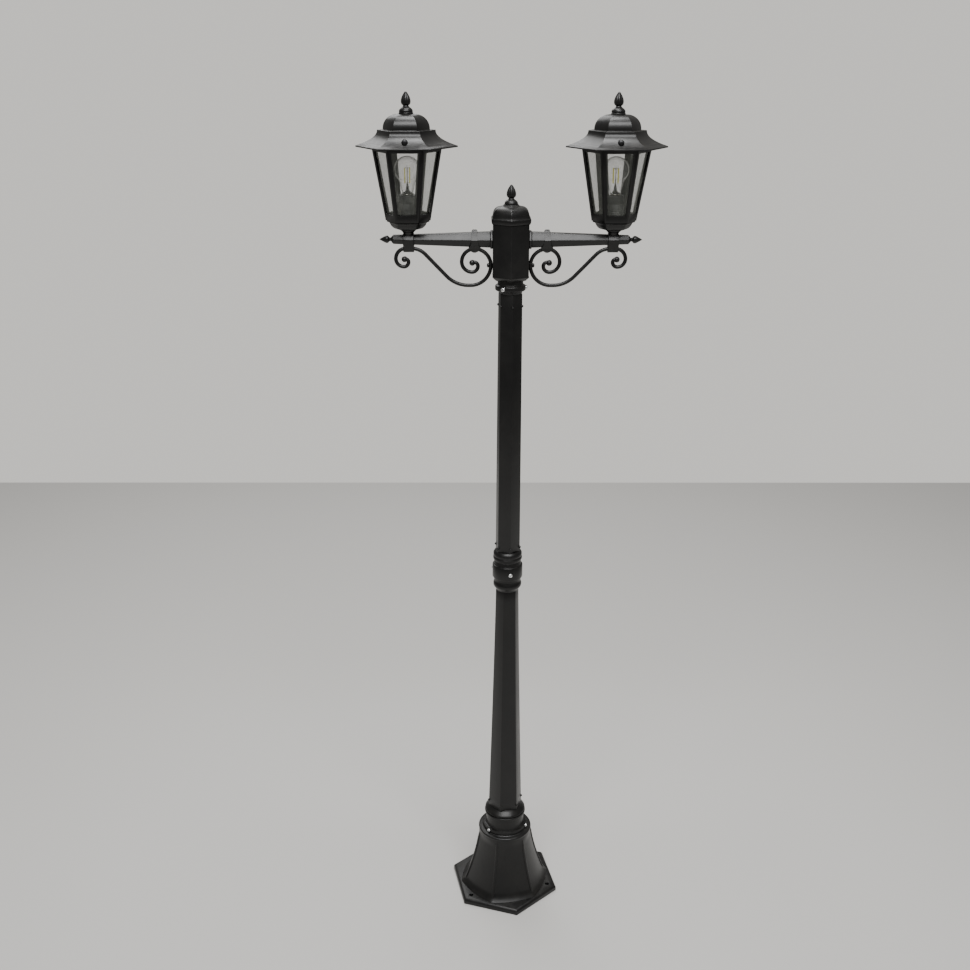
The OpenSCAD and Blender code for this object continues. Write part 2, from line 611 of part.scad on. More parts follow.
module bowl() color(black) at_lantern() difference() {
    hex_turned(concat([[0, seat_z]], bowl_line(0), [[frame_foot_r - 2.5, seat_z + 16.2],
        [frame_foot_r - 2.5, frame_z], [0, frame_z]]));
    hex_turned(concat([[0, seat_z + bowl_floor_t]], [for (p = bowl_line(bowl_wall / hex_cos))
        [p[0], max(p[1], seat_z + bowl_floor_t)]], [[frame_foot_r - 8, frame_z + 1], [0, frame_z + 1]]));
    translate([0, 0, seat_z - 1]) cylinder(h = bowl_floor_t + 2, r = wire_way_r);
}

// Corner radius of the frame's outer face at height z.
function frame_r(z) = frame_foot_r + (frame_top_r - frame_foot_r) * (z - frame_z) / frame_h;

// A flat leaf on one face of the leaning frame, inset by depth, from z1 to z2, that stops
// at1 and at2 short of the face's corners at its foot and its top.
module face_leaf(depth, thick, z1, z2, at1, at2) {
    r1 = frame_r(z1) - depth / hex_cos;
    r2 = frame_r(z2) - depth / hex_cos;
    out = r1 * hex_cos;
    slope = (z2 - z1) / cos(lean);
    translate([out, 0, z1]) rotate([0, lean, 0]) rotate([90, 0, -90]) linear_extrude(height = thick)
        polygon([[-r1 / 2 + at1, 0], [r1 / 2 - at1, 0], [r2 / 2 - at2, slope], [-r2 / 2 + at2, slope]]);
}

module frame() color(black) at_lantern() difference() {
    wall = frame_wall / hex_cos;
    union() {
        hex_turned([[frame_foot_r - wall, frame_z], [frame_foot_r, frame_z], [frame_top_r, frame_top_z],
            [frame_top_r - wall, frame_top_z]]);
        for (way = [-1, 1]) scale([1, way, 1]) {
            translate([-tab_w / 2, tab_y, frame_top_z - 6]) cube([tab_w, (frame_top_r - 1) * hex_cos - tab_y - 1, 5.8]);
            translate([-tab_w / 2, tab_y, frame_top_z - 6]) cube([tab_w, tab_t, tab_top_z - frame_top_z + 6]);
        }
    }
    for (i = [0:5]) rotate([0, 0, 30 + i * 60])
        translate([2, 0, 0]) face_leaf(0, 8, frame_z + bottom_rail, frame_top_z - top_rail, leaf_foot, leaf_top);
    translate([0, 0, roof_screw_z]) rotate([90, 0, 0]) cylinder(h = 4 * tab_y, r = roof_screw_r + 0.7, center = true, $fn = 24);
    translate([-roof_screw_r - 0.7, -2 * tab_y, roof_screw_z]) cube([2 * roof_screw_r + 1.4, 4 * tab_y, 20]);
}

module panes() color([0.8, 0.86, 0.88, 0.35]) at_lantern() for (i = [0:5]) rotate([0, 0, 30 + i * 60])
    face_leaf(frame_wall + slack, pane_t, frame_z + pane_foot, frame_top_z - top_rail + 2,
        pane_t * tan(30) + 0.4, pane_t * tan(30) + 0.4);

module lamp_holder() color([0.15, 0.15, 0.15]) at_lantern() difference() {
    turned([[0, seat_z + bowl_floor_t], [foot_r, seat_z + bowl_floor_t], [foot_r, holder_z - 1], [holder_r - 1, holder_z - 1],
        [holder_r, holder_z], [holder_r, holder_top_z - 1], [holder_r - 1, holder_top_z], [0, holder_top_z]]);
    translate([0, 0, socket_z]) cylinder(h = holder_h, r = shell_r + running, $fn = 64);
}

function flare_r(s) = ledge_r + (eave_r - ledge_r) * pow(1 - s, 2.2);
flare_z = frame_top_z + eave_band;
flare_steps = 10;
function roof_line() = concat([[eave_r, frame_top_z]],
    [for (i = [0:flare_steps]) [flare_r(i / flare_steps), flare_z + (ledge_h - eave_band) * i / flare_steps]],
    [[ledge_r - 1, frame_top_z + ledge_h + 0.6], [dome_r, frame_top_z + ledge_h + 0.8]],
    [for (a = [0:10:90]) [dome_seat_r + (dome_r - dome_seat_r) * cos(a),
        frame_top_z + ledge_h + 3 + (roof_h - ledge_h - 3) * sin(a)]]);

module roof() color(black) at_lantern() difference() {
    union() {
        difference() {
            hex_turned(concat([[0, frame_top_z]], roof_line(), [[0, roof_top_z]]));
            hex_turned(concat([[0, frame_top_z - 1], [eave_r - roof_wall, frame_top_z - 1]],
                [for (p = roof_line()) [p[0] - roof_wall, p[1] - roof_wall]], [[0, roof_top_z - roof_wall]]));
        }
        hex_turned([[skirt_in_r, frame_top_z], [skirt_out_r, frame_top_z], [skirt_out_r, frame_top_z + skirt_h],
            [skirt_in_r, frame_top_z + skirt_h + 4.5]]);
        for (way = [-1, 1]) scale([1, way, 1]) translate([0, boss_y, roof_screw_z]) rotate([90, 0, 0])
            cylinder(h = boss_y - skirt_in_r * hex_cos - 1, r = boss_r, $fn = 32);
    }
    for (way = [-1, 1]) scale([1, way, 1]) translate([0, boss_y, roof_screw_z]) rotate([-90, 0, 0])
        cylinder(h = 2 * boss_r, r = roof_screw_head_r + 0.6, $fn = 32);
    translate([0, 0, roof_screw_z]) rotate([90, 0, 0])
        cylinder(h = 2 * boss_y + 2, r = roof_screw_r + slack, center = true, $fn = 24);
    translate([0, 0, roof_top_z - 12]) cylinder(h = 14, r = finial_stud_r + slack);
}

module roof_finial() color(black) at_lantern() translate([0, 0, roof_top_z]) finial();

module roof_screws() color([0.1, 0.1, 0.1]) at_lantern() for (way = [-1, 1]) scale([1, way, 1])
    translate([0, boss_y, roof_screw_z]) rotate([90, 0, 0]) difference() {
        union() {
            cylinder(h = boss_y - tab_y + roof_nut_t + 2, r = roof_screw_r, $fn = 24);
            translate([0, 0, -2]) cylinder(h = 2, r = roof_screw_head_r);
            translate([0, 0, -3.2]) cylinder(h = 1.3, r = roof_screw_head_r - 1.6);
        }
        translate([-roof_screw_head_r, -0.6, -4]) cube([2 * roof_screw_head_r, 1.2, 2.2]);
    }

module roof_nuts() color(zinc) at_lantern() for (way = [-1, 1]) scale([1, way, 1])
    translate([0, tab_y - nut_gap, roof_screw_z]) rotate([90, 0, 0]) difference() {
        cylinder(h = roof_nut_t, r = roof_nut_r, $fn = 6);
        translate([0, 0, -1]) cylinder(h = roof_nut_t + 2, r = roof_screw_r + running);
    }

// ---- Bulb ----

function glass_line(t) = concat([[bulb_neck_r - t, neck_z], [bulb_neck_r + 0.6 - t, neck_z + 6],
    [bulb_neck_r + 2.2 - t, neck_z + 13]],
    [for (a = [-50:10:90]) [max((bulb_r - t) * cos(a), 0), bulb_c_z + (bulb_r - t) * sin(a)]]);

module bulb_glass() color([0.9, 0.92, 0.92, 0.3]) at_lantern()
    turned(concat(glass_line(0), reversed(glass_line(bulb_wall))), 48);

module bulb_filaments() color([0.95, 0.8, 0.25]) at_lantern() {
    low = neck_z + 24;
    tall = bulb_r * 1.1;
    spread = 8;
    turned([[0, neck_z + 1], [bulb_neck_r - bulb_wall - 0.1, neck_z + 1], [bulb_neck_r - bulb_wall - 0.1, neck_z + 2.5], [5, neck_z + 6],
        [3.5, neck_z + 9], [3.2, low - 4], [1, low - 2], [0.8, low + tall + 1], [0, low + tall + 1]], 24);
    for (z = [low - 1, low + tall]) translate([0, 0, z]) cylinder(h = 1, r = spread + 1.2, $fn = 24);
    around(4, 45) translate([spread, 0, low - 0.5]) cylinder(h = tall + 1, r = 0.9, $fn = 16);
}

module bulb_shell() color(zinc) at_lantern() difference() {
    turned([[9.2, shell_z], [shell_r - 0.6, shell_z], [shell_r, shell_z + 2], [shell_r, shell_z + shell_h],
        [shell_r + 1.3, shell_z + shell_h + 0.4], [shell_r + 1.3, neck_z], [9.2, neck_z]]);
    translate([0, 0, shell_z + 2]) cylinder(h = shell_h + 4, r = shell_r - shell_wall);
}

module bulb_contact() color(zinc) at_lantern() turned([[0, contact_z], [4.5, contact_z], [4.8, contact_z + 0.8],
    [9, contact_z + contact_h - 0.4], [9, contact_z + contact_h], [0, contact_z + contact_h]]);

// A wire from the terminal block through the arm's bore and up into the lamp holder.
module lead() color("saddlebrown") {
    t = head_z + head_floor_t + terminal[2];
    y = terminal_y + 6;
    swept([[5, y, t], [5, y, t + 12], [6, y - 3, arm_z - 18], [9, y - 10, arm_z - 8], [16, y - 18, arm_z - 2],
        [26, 1, arm_z], [36, 0, arm_z], [arm_reach * 0.5, 0, arm_z], [arm_reach - 8, 0, arm_z],
        [arm_reach - 2, 0, arm_z + 2.5], [arm_reach, 0, arm_z + 9], [arm_reach, 0, seat_z + bowl_floor_t]], lead_r);
}

// ---- Output ----

base_casting();
base_screws();
base_gland();
trim_ring();
lower_post();
mid_lower_ring();
mid_sleeve();
mid_screws();
mid_upper_ring();
upper_post();
top_collar();
top_screws();
head_casing();
head_cap();
head_finial();
arm_nuts();
terminal_block();
supply_cable();
for (side = ["left", "right"]) mirror([side == "left" ? 1 : 0, 0, 0]) {
    arm();
    arm_plate();
    arm_tip();
    scroll();
    scroll_clip();
    scroll_bolt();
    saddle();
    bowl();
    frame();
    panes();
    lamp_holder();
    bulb_glass();
    bulb_filaments();
    bulb_shell();
    bulb_contact();
    roof();
    roof_finial();
    roof_screws();
    roof_nuts();
    lead();
}
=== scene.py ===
"""Looks of a twin-lantern lamp post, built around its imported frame.

Every piece is in metres in the frame's own axes: +Z up, the arms along X, the front towards -Y.
Outlines are written in millimetres as (radius, height) pairs and scaled on the bench.
"""
from __future__ import annotations

import logging
import math
from collections.abc import Callable, Iterable, Sequence
from dataclasses import dataclass
from enum import Enum

import bmesh
import bpy
from bpy.types import Material, Node, NodeSocket, Object
from mathutils import Matrix, Vector


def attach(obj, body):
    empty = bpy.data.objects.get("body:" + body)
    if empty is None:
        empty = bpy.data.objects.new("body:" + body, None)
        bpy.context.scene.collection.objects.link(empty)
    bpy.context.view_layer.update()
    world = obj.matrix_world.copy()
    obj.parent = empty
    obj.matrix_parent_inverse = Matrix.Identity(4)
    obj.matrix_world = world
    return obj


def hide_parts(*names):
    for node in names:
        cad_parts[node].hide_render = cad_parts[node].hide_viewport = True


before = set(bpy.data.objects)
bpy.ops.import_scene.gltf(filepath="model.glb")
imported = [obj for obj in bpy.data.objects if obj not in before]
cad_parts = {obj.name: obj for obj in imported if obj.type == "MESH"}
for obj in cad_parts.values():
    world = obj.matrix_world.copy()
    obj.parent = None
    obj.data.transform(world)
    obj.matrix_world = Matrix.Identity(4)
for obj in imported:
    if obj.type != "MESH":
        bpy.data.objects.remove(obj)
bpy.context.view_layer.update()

log = logging.getLogger("lamp_post")

MM = 0.001
WELD = 1e-6
HEX_COS = math.cos(math.radians(30))
Outline = Sequence[tuple[float, float]]


class Side(Enum):
    """The two lanterns' sides, by the sign of their X."""

    LEFT = -1
    RIGHT = 1

    @property
    def word(self) -> str:
        """The side as it stands in the frame's node names."""
        return self.name.lower()


class Body(Enum):
    """The frame's bodies, by what rides on them."""

    POST = "post"
    ROOF = "roof_lid"
    BULB = "bulb"
    FOOT = "bulb_foot"

    def on(self, side: Side) -> str:
        """The name of this body on one side.

        Args:
            side: The side; the post itself has none.

        Returns:
            The body's name in the frame.
        """
        return self.value if self is Body.POST else f"{side.word}_{self.value}"


# ---------------------------------------------------------------- shading


class Wire:
    """A shader socket that Python's operators can do maths on."""

    def __init__(self, shade: "Shade", socket: NodeSocket) -> None:
        """Wraps one output socket of a material's tree."""
        self.shade = shade
        self.socket = socket

    def _maths(self, operation: str, *values: "Wire | float") -> "Wire":
        """Adds a Math node.

        Args:
            operation: The Math node's operation.
            *values: What its inputs are set or linked to.

        Returns:
            The node's output.
        """
        return self.shade.node("ShaderNodeMath", {"operation": operation}, dict(enumerate(values)))

    def __add__(self, other: "Wire | float") -> "Wire":
        """Sum of two values."""
        return self._maths("ADD", self, other)

    def __sub__(self, other: "Wire | float") -> "Wire":
        """Difference of two values."""
        return self._maths("SUBTRACT", self, other)

    def __rsub__(self, other: float) -> "Wire":
        """A number less this value."""
        return self._maths("SUBTRACT", other, self)

    def __mul__(self, other: "Wire | float") -> "Wire":
        """Product of two values."""
        return self._maths("MULTIPLY", self, other)

    __radd__ = __add__
    __rmul__ = __mul__

    def __pow__(self, other: float) -> "Wire":
        """This value raised to a power."""
        return self._maths("POWER", self, other)

    def ramp(self, low: float, high: float) -> "Wire":
        """Eases from 0 to 1.

        Args:
            low: The value that gives 0.
            high: The value that gives 1.

        Returns:
            The eased value.
        """
        settings = {"interpolation_type": "SMOOTHSTEP"}
        return self.shade.node("ShaderNodeMapRange", settings, {0: self, 1: low, 2: high})


Input = Wire | float | tuple


class Shade:
    """One material's node tree, written as expressions."""

    def __init__(self, name: str) -> None:
        """Starts a material with a Principled shader."""
        self.material = bpy.data.materials.new(name)
        self.material.use_nodes = True
        self.tree = self.material.node_tree
        self.surface: Node = self.tree.nodes["Principled BSDF"]
        self.place = self.node("ShaderNodeTexCoord", {}, {}, "Object")

    def node(self, kind: str, settings: dict, inputs: dict, output: str | int = 0) -> Wire:
        """Adds a node.

        Args:
            kind: The node's type.
            settings: Its properties, set before its sockets.
            inputs: Socket names or numbers, each with a value or a wire.
            output: Which output is wanted.

        Returns:
            The wanted output.
        """
        made = self.tree.nodes.new(kind)
        for key, value in settings.items():
            setattr(made, key, value)
        for key, value in inputs.items():
            if isinstance(value, Wire):
                self.tree.links.new(value.socket, made.inputs[key])
            else:
                made.inputs[key].default_value = value
        return Wire(self, made.outputs[output])

    def noise(self, scale: float, detail: float = 2.0, rough: float = 0.5,
              along: Input | None = None) -> Wire:
        """A noise value on object coordinates.

        Args:
            scale: Cells to the metre.
            detail: Octaves.
            rough: How strong the fine octaves are.
            along: Coordinates to read in place of the object's own.

        Returns:
            The noise, about 0.5 on average.
        """
        sockets = {"Vector": along or self.place, "Scale": scale, "Detail": detail, "Roughness": rough}
        return self.node("ShaderNodeTexNoise", {}, sockets, "Fac")

    def stretched(self, x: float, y: float, z: float) -> Wire:
        """Object coordinates scaled along each axis.

        Args:
            x: Scale along X.
            y: Scale along Y.
            z: Scale along Z.

        Returns:
            The scaled coordinates.
        """
        return self.node("ShaderNodeMapping", {}, {"Vector": self.place, "Scale": (x, y, z)})

    def upward(self) -> Wire:
        """How far the surface faces up, from -1 to 1."""
        normal = self.node("ShaderNodeNewGeometry", {}, {}, "Normal")
        return self.node("ShaderNodeSeparateXYZ", {}, {0: normal}, "Z")

    def mix(self, share: Input, first: Input, second: Input) -> Wire:
        """Blends two colours.

        Args:
            share: How much of the second colour shows.
            first: Colour at 0.
            second: Colour at 1.

        Returns:
            The blended colour.
        """
        made = self.tree.nodes.new("ShaderNodeMix")
        made.data_type = "RGBA"
        sockets = [s for s in made.inputs if s.type == "RGBA"]
        for socket, value in zip([made.inputs[0], *sockets], (share, first, second)):
            if isinstance(value, Wire):
                self.tree.links.new(value.socket, socket)
            else:
                socket.default_value = value
        return Wire(self, next(s for s in made.outputs if s.type == "RGBA"))

    def bump(self, height: Wire, strength: float, depth: float) -> None:
        """Feeds the shader's normal from a height.

        Args:
            height: The height, from 0 to 1.
            strength: How much of it shows.
            depth: The depth of its full range, in metres.
        """
        made = self.node("ShaderNodeBump", {}, {"Height": height, "Strength": strength, "Distance": depth},
                         "Normal")
        self.feed("Normal", made)

    def feed(self, socket: str, value: Input) -> None:
        """Sets or links one socket of the Principled shader.

        Args:
            socket: The socket's name.
            value: A value to set, or a wire to link.
        """
        if isinstance(value, Wire):
            self.tree.links.new(value.socket, self.surface.inputs[socket])
        else:
            self.surface.inputs[socket].default_value = value


Colour = tuple[float, float, float, float]


@dataclass(frozen=True)
class PowderCoat:
    """Satin powder coat over cast aluminium, with dust where it faces up."""

    name: str = "black_powder_coat"
    coat: Colour = (0.0032, 0.0032, 0.0033, 1)
    pale: Colour = (0.0075, 0.0073, 0.0068, 1)
    dust: Colour = (0.05, 0.046, 0.04, 1)
    rough: float = 0.33
    dusting: float = 0.22
    gloss: float = 0.4

    def make(self) -> Material:
        """Builds the material."""
        s = Shade(self.name)
        cloud = s.noise(14, 4, 0.6)
        grain = s.noise(620, 2, 0.5)
        cast = s.noise(75, 3, 0.55)
        streak = s.noise(30, 3, 0.6, s.stretched(1, 1, 0.12))
        tone = s.mix(cloud.ramp(0.38, 0.7) * 0.8 + streak.ramp(0.5, 0.8) * 0.25, self.coat, self.pale)
        settled = s.upward().ramp(0.25, 1.0) * s.noise(55, 5, 0.7).ramp(0.35, 0.75) * self.dusting
        s.feed("Base Color", s.mix(settled, tone, self.dust))
        s.feed("Roughness", cloud * 0.14 + grain * 0.08 + settled * 0.3 + (self.rough - 0.1))
        s.feed("Specular IOR Level", self.gloss)
        s.bump(grain * 0.35 + cast * 0.65, 0.45, 0.0006)
        return s.material


@dataclass(frozen=True)
class BrightMetal:
    """Plated steel with fine turning marks."""

    name: str
    tint: Colour
    rough: float
    mark_scale: float = 900

    def make(self) -> Material:
        """Builds the material."""
        s = Shade(self.name)
        marks = s.noise(self.mark_scale, 2, 0.6, s.stretched(0.15, 0.15, 1))
        stain = s.noise(130, 4, 0.65)
        dull = tuple(c * 0.62 for c in self.tint[:3]) + (1,)
        s.feed("Base Color", s.mix(stain.ramp(0.45, 0.8) * 0.6, self.tint, dull))
        s.feed("Metallic", 1.0)
        s.feed("Roughness", stain * 0.18 + marks * 0.08 + (self.rough - 0.1))
        s.bump(marks, 0.18, 0.0002)
        return s.material


@dataclass(frozen=True)
class Moulded:
    """A moulded plastic or rubber with a fine spark-eroded grain."""

    name: str
    tint: Colour
    rough: float
    grain_scale: float = 1100

    def make(self) -> Material:
        """Builds the material."""
        s = Shade(self.name)
        grain = s.noise(self.grain_scale, 2, 0.6)
        cloud = s.noise(40, 3, 0.6)
        pale = tuple(min(1.0, c * 1.35 + 0.006) for c in self.tint[:3]) + (1,)
        s.feed("Base Color", s.mix(cloud.ramp(0.4, 0.75) * 0.7, self.tint, pale))
        s.feed("Roughness", grain * 0.16 + cloud * 0.1 + (self.rough - 0.13))
        s.bump(grain, 0.25, 0.0002)
        return s.material


@dataclass(frozen=True)
class ClearGlass:
    """Clear glass: what covers is its mirror-like skin, strongest at the edges, and a faint film of dust."""

    name: str
    skin: float
    rim: float
    film: float
    wave_scale: float = 28
    tint: Colour = (0.9, 0.91, 0.9, 1)
    dust: Colour = (0.5, 0.49, 0.45, 1)

    def make(self) -> Material:
        """Builds the material."""
        s = Shade(self.name)
        facing = s.node("ShaderNodeLayerWeight", {}, {"Blend": 0.5}, "Facing")
        haze = s.noise(34, 4, 0.65, s.stretched(1, 1, 0.35)).ramp(0.45, 0.85)
        s.feed("Base Color", s.mix(haze, self.tint, self.dust))
        s.feed("Metallic", 1 - haze * 0.8)
        s.feed("Alpha", facing ** 3 * self.rim + haze * self.film + self.skin)
        s.feed("Roughness", haze * 0.25 + 0.03)
        s.bump(s.noise(self.wave_scale, 1, 0.4), 0.1, 0.0012)
        return s.material


@dataclass(frozen=True)
class Phosphor:
    """The yellow phosphor of an unlit filament rod, with a faint painted glow that stands in for light."""

    name: str = "filament_yellow"
    tint: Colour = (0.82, 0.76, 0.1, 1)
    bright: Colour = (0.95, 0.8, 0.2, 1)
    glow: Colour = (0.9, 0.86, 0.18, 1)
    glow_level: float = 0.25

    def make(self) -> Material:
        """Builds the material."""
        s = Shade(self.name)
        beads = s.noise(800, 2, 0.5)
        s.feed("Base Color", s.mix(beads.ramp(0.35, 0.7), self.tint, self.bright))
        s.feed("Roughness", beads * 0.2 + 0.3)
        # Painted glow: a faint emission makes the unlit rod shine as if it were lit.
        s.feed("Emission Color", self.glow)
        s.feed("Emission Strength", self.glow_level)
        s.bump(beads, 0.2, 0.0003)
        return s.material


@dataclass(frozen=True)
class Plain:
    """A plain studio surface that isn't part of the object."""

    name: str
    tint: Colour
    rough: float = 0.9

    def make(self) -> Material:
        """Builds the material."""
        s = Shade(self.name)
        s.feed("Base Color", self.tint)
        s.feed("Roughness", self.rough)
        return s.material


FINISHED: dict[str, Material] = {}


class Slot(Enum):
    """The record's material slots, each with its finish."""

    COAT = PowderCoat()
    ZINC = BrightMetal("zinc_screw", (0.86, 0.87, 0.88, 1), 0.26)
    NUT = BrightMetal("zinc_nut", (0.62, 0.63, 0.6, 1), 0.38)
    DARK_SCREW = BrightMetal("black_fastener", (0.05, 0.05, 0.052, 1), 0.42)
    NYLON = Moulded("grey_nylon", (0.09, 0.09, 0.092, 1), 0.55)
    TERMINAL = Moulded("white_plastic", (0.62, 0.61, 0.56, 1), 0.45)
    CABLE = Moulded("black_cable", (0.018, 0.018, 0.018, 1), 0.6)
    WIRE = Moulded("brown_wire", (0.09, 0.04, 0.018, 1), 0.4)
    PANE = ClearGlass("pane_glass", 0.12, 0.5, 0.05, tint=(0.6, 0.63, 0.58, 1))
    HOLDER = Moulded("holder_plastic", (0.028, 0.029, 0.028, 1), 0.5)
    BULB = ClearGlass("bulb_glass", 0.05, 0.9, 0.02, 90)
    PHOSPHOR = Phosphor()
    CAP = BrightMetal("nickel_cap", (0.74, 0.72, 0.66, 1), 0.24)

    @property
    def material(self) -> Material:
        """The slot's material, made the first time that it is asked for."""
        name = self.value.name
        if name not in FINISHED:
            FINISHED[name] = self.value.make()
        return FINISHED[name]


# ---------------------------------------------------------------- bench


class Bench:
    """Shapes bmeshes and hands them over as finished pieces."""

    def __init__(self) -> None:
        """Starts with no piece made."""
        self.made: list[Object] = []

    @staticmethod
    def turned(outline: Outline, steps: int = 64, turn: float = 0.0,
               closed: bool = False) -> bmesh.types.BMesh:
        """Spins an outline round Z.

        Args:
            outline: (radius, height) pairs in millimetres, from the inside round to the inside.
            steps: Faces in a full turn; 6 gives a six-sided shape.
            turn: Where the first corner stands, in degrees.
            closed: Whether the last point joins the first, as round a bore.

        Returns:
            The spun shape.
        """
        bm = bmesh.new()
        start = Matrix.Rotation(math.radians(turn), 3, "Z")
        verts = [bm.verts.new(start @ Vector((r * MM, 0, z * MM))) for r, z in outline]
        edges = [bm.edges.new(pair) for pair in zip(verts, verts[1:])]
        if closed:
            edges.append(bm.edges.new((verts[-1], verts[0])))
        bmesh.ops.spin(bm, geom=verts + edges, cent=(0, 0, 0), axis=(0, 0, 1), angle=math.tau,
                       steps=steps, use_merge=True)
        bmesh.ops.remove_doubles(bm, verts=bm.verts, dist=WELD)
        bmesh.ops.recalc_face_normals(bm, faces=bm.faces)
        return bm

    @staticmethod
    def plate(outline: Outline, thick: float, place: Matrix) -> bmesh.types.BMesh:
        """Extrudes a flat outline both ways from its own plane.

        Args:
            outline: (x, y) pairs in millimetres.
            thick: Thickness in millimetres.
            place: Where the plate goes, in metres.

        Returns:
            The plate.
        """
        bm = bmesh.new()
        base = bm.faces.new([bm.verts.new((x * MM, y * MM, -thick / 2 * MM)) for x, y in outline])
        grown = bmesh.ops.extrude_face_region(bm, geom=[base])["geom"]
        risen = [v for v in grown if isinstance(v, bmesh.types.BMVert)]
        bmesh.ops.translate(bm, verts=risen, vec=(0, 0, thick * MM))
        bmesh.ops.transform(bm, matrix=place, verts=bm.verts)
        bmesh.ops.recalc_face_normals(bm, faces=bm.faces)
        return bm

    @staticmethod
    def ease(bm: bmesh.types.BMesh, width: float, angle: float = 24, segments: int = 2,
             least: float = 0) -> bmesh.types.BMesh:
        """Rounds every edge that is sharper than an angle.

        Args:
            bm: The shape.
            width: How far the rounding reaches, in millimetres.
            angle: The least fold that counts as an edge, in degrees.
            segments: Faces across the rounding.
            least: The shortest edge that is rounded, in millimetres.

        Returns:
            The same shape.
        """
        sharp = [e for e in bm.edges if len(e.link_faces) == 2 and e.calc_length() >= least * MM
                 and e.calc_face_angle(0) > math.radians(angle)]
        bmesh.ops.bevel(bm, geom=sharp, offset=width * MM, offset_type="OFFSET", affect="EDGES",
                        segments=segments, profile=0.5, material=-1, clamp_overlap=True)
        bmesh.ops.remove_doubles(bm, verts=bm.verts, dist=WELD)
        return bm

    @staticmethod
    def join(*parts: bmesh.types.BMesh) -> bmesh.types.BMesh:
        """Gathers several shapes into the first one.

        Args:
            *parts: The shapes; all but the first are used up.

        Returns:
            The first shape, with the others in it.
        """
        whole = parts[0]
        for part in parts[1:]:
            carrier = bpy.data.meshes.new("carrier")
            part.to_mesh(carrier)
            whole.from_mesh(carrier)
            bpy.data.meshes.remove(carrier)
            part.free()
        return whole

    @staticmethod
    def moved(bm: bmesh.types.BMesh, matrix: Matrix) -> bmesh.types.BMesh:
        """Moves a shape, and puts its faces right if the move mirrors it.

        Args:
            bm: The shape.
            matrix: The move, in metres.

        Returns:
            The same shape.
        """
        bmesh.ops.transform(bm, matrix=matrix, verts=bm.verts)
        if matrix.determinant() < 0:
            bmesh.ops.reverse_faces(bm, faces=bm.faces)
        return bm

    @classmethod
    def around(cls, count: int, turn: float, make: Callable[[], bmesh.types.BMesh]) -> bmesh.types.BMesh:
        """Sets copies of a shape round the Z axis.

        Args:
            count: How many copies.
            turn: Where the first one stands, in degrees.
            make: Makes one copy, standing on +X.

        Returns:
            All the copies as one shape.
        """
        angles = (math.radians(turn + 360 * i / count) for i in range(count))
        return cls.join(*(cls.moved(make(), Matrix.Rotation(a, 4, "Z")) for a in angles))

    def hand_over(self, bm: bmesh.types.BMesh, name: str, body: str, slot: Slot, nodes: Iterable[str] = (),
                  smooth: float = 32) -> Object:
        """Makes a finished piece of a shape.

        Args:
            bm: The shape, in place.
            name: The piece's name.
            body: The CAD body that it rides on.
            slot: The material slot that dresses it.
            nodes: The CAD nodes that it stands for.
            smooth: The sharpest fold that still shades smooth, in degrees.

        Returns:
            The piece.
        """
        mesh = bpy.data.meshes.new(name)
        bm.to_mesh(mesh)
        bm.free()
        mesh.polygons.foreach_set("use_smooth", [True] * len(mesh.polygons))
        mesh.set_sharp_from_angle(angle=math.radians(smooth))
        piece = bpy.data.objects.new(name, mesh)
        bpy.context.scene.collection.objects.link(piece)
        mesh.materials.append(slot.material)
        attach(piece, body)
        if nodes:
            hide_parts(*nodes)
        self.made.append(piece)
        log.info("%s: %d faces on %s", name, len(mesh.polygons), body)
        return piece

    def post_piece(self, bm: bmesh.types.BMesh, name: str, *nodes: str, slot: Slot = Slot.COAT,
                   smooth: float = 32) -> Object:
        """Hands over a piece that is fixed to the post.

        Args:
            bm: The shape, in place.
            name: The piece's name.
            *nodes: The CAD nodes that it stands for.
            slot: The material slot that dresses it.
            smooth: The sharpest fold that still shades smooth, in degrees.

        Returns:
            The piece.
        """
        return self.hand_over(bm, name, Body.POST.value, slot, nodes, smooth)

    @staticmethod
    def carve(piece: Object, cutter: bmesh.types.BMesh, smooth: float = 32, keep: bool = False) -> None:
        """Cuts a shape out of a piece.

        Args:
            piece: The piece.
            cutter: The shape that cuts.
            smooth: The sharpest fold that still shades smooth, in degrees.
            keep: Whether what lies inside the cutter stays, and not what lies outside.
        """
        tool_mesh = bpy.data.meshes.new("cutter")
        cutter.to_mesh(tool_mesh)
        cutter.free()
        tool = bpy.data.objects.new("cutter", tool_mesh)
        bpy.context.scene.collection.objects.link(tool)
        cut = piece.modifiers.new("cut", "BOOLEAN")
        cut.operation = "INTERSECT" if keep else "DIFFERENCE"
        cut.solver = "EXACT"
        cut.object = tool
        bpy.context.view_layer.update()
        shown = piece.evaluated_get(bpy.context.evaluated_depsgraph_get())
        result = bpy.data.meshes.new_from_object(shown)
        piece.modifiers.clear()
        old = piece.data
        piece.data = result
        result.set_sharp_from_angle(angle=math.radians(smooth))
        bpy.data.meshes.remove(old)
        bpy.data.objects.remove(tool)
        bpy.data.meshes.remove(tool_mesh)


def up(x: float = 0, y: float = 0, z: float = 0) -> Matrix:
    """A move by millimetres.

    Args:
        x: The step along X.
        y: The step along Y.
        z: The step along Z.

    Returns:
        The move, in metres.
    """
    return Matrix.Translation((x * MM, y * MM, z * MM))


def spun(angle: float, axis: str) -> Matrix:
    """A turn by degrees about an axis.

    Args:
        angle: The angle in degrees.
        axis: The axis's letter.

    Returns:
        The turn.
    """
    return Matrix.Rotation(math.radians(angle), 4, axis)


FACE_X = spun(90, "Y")
FACE_FRONT = spun(90, "X")


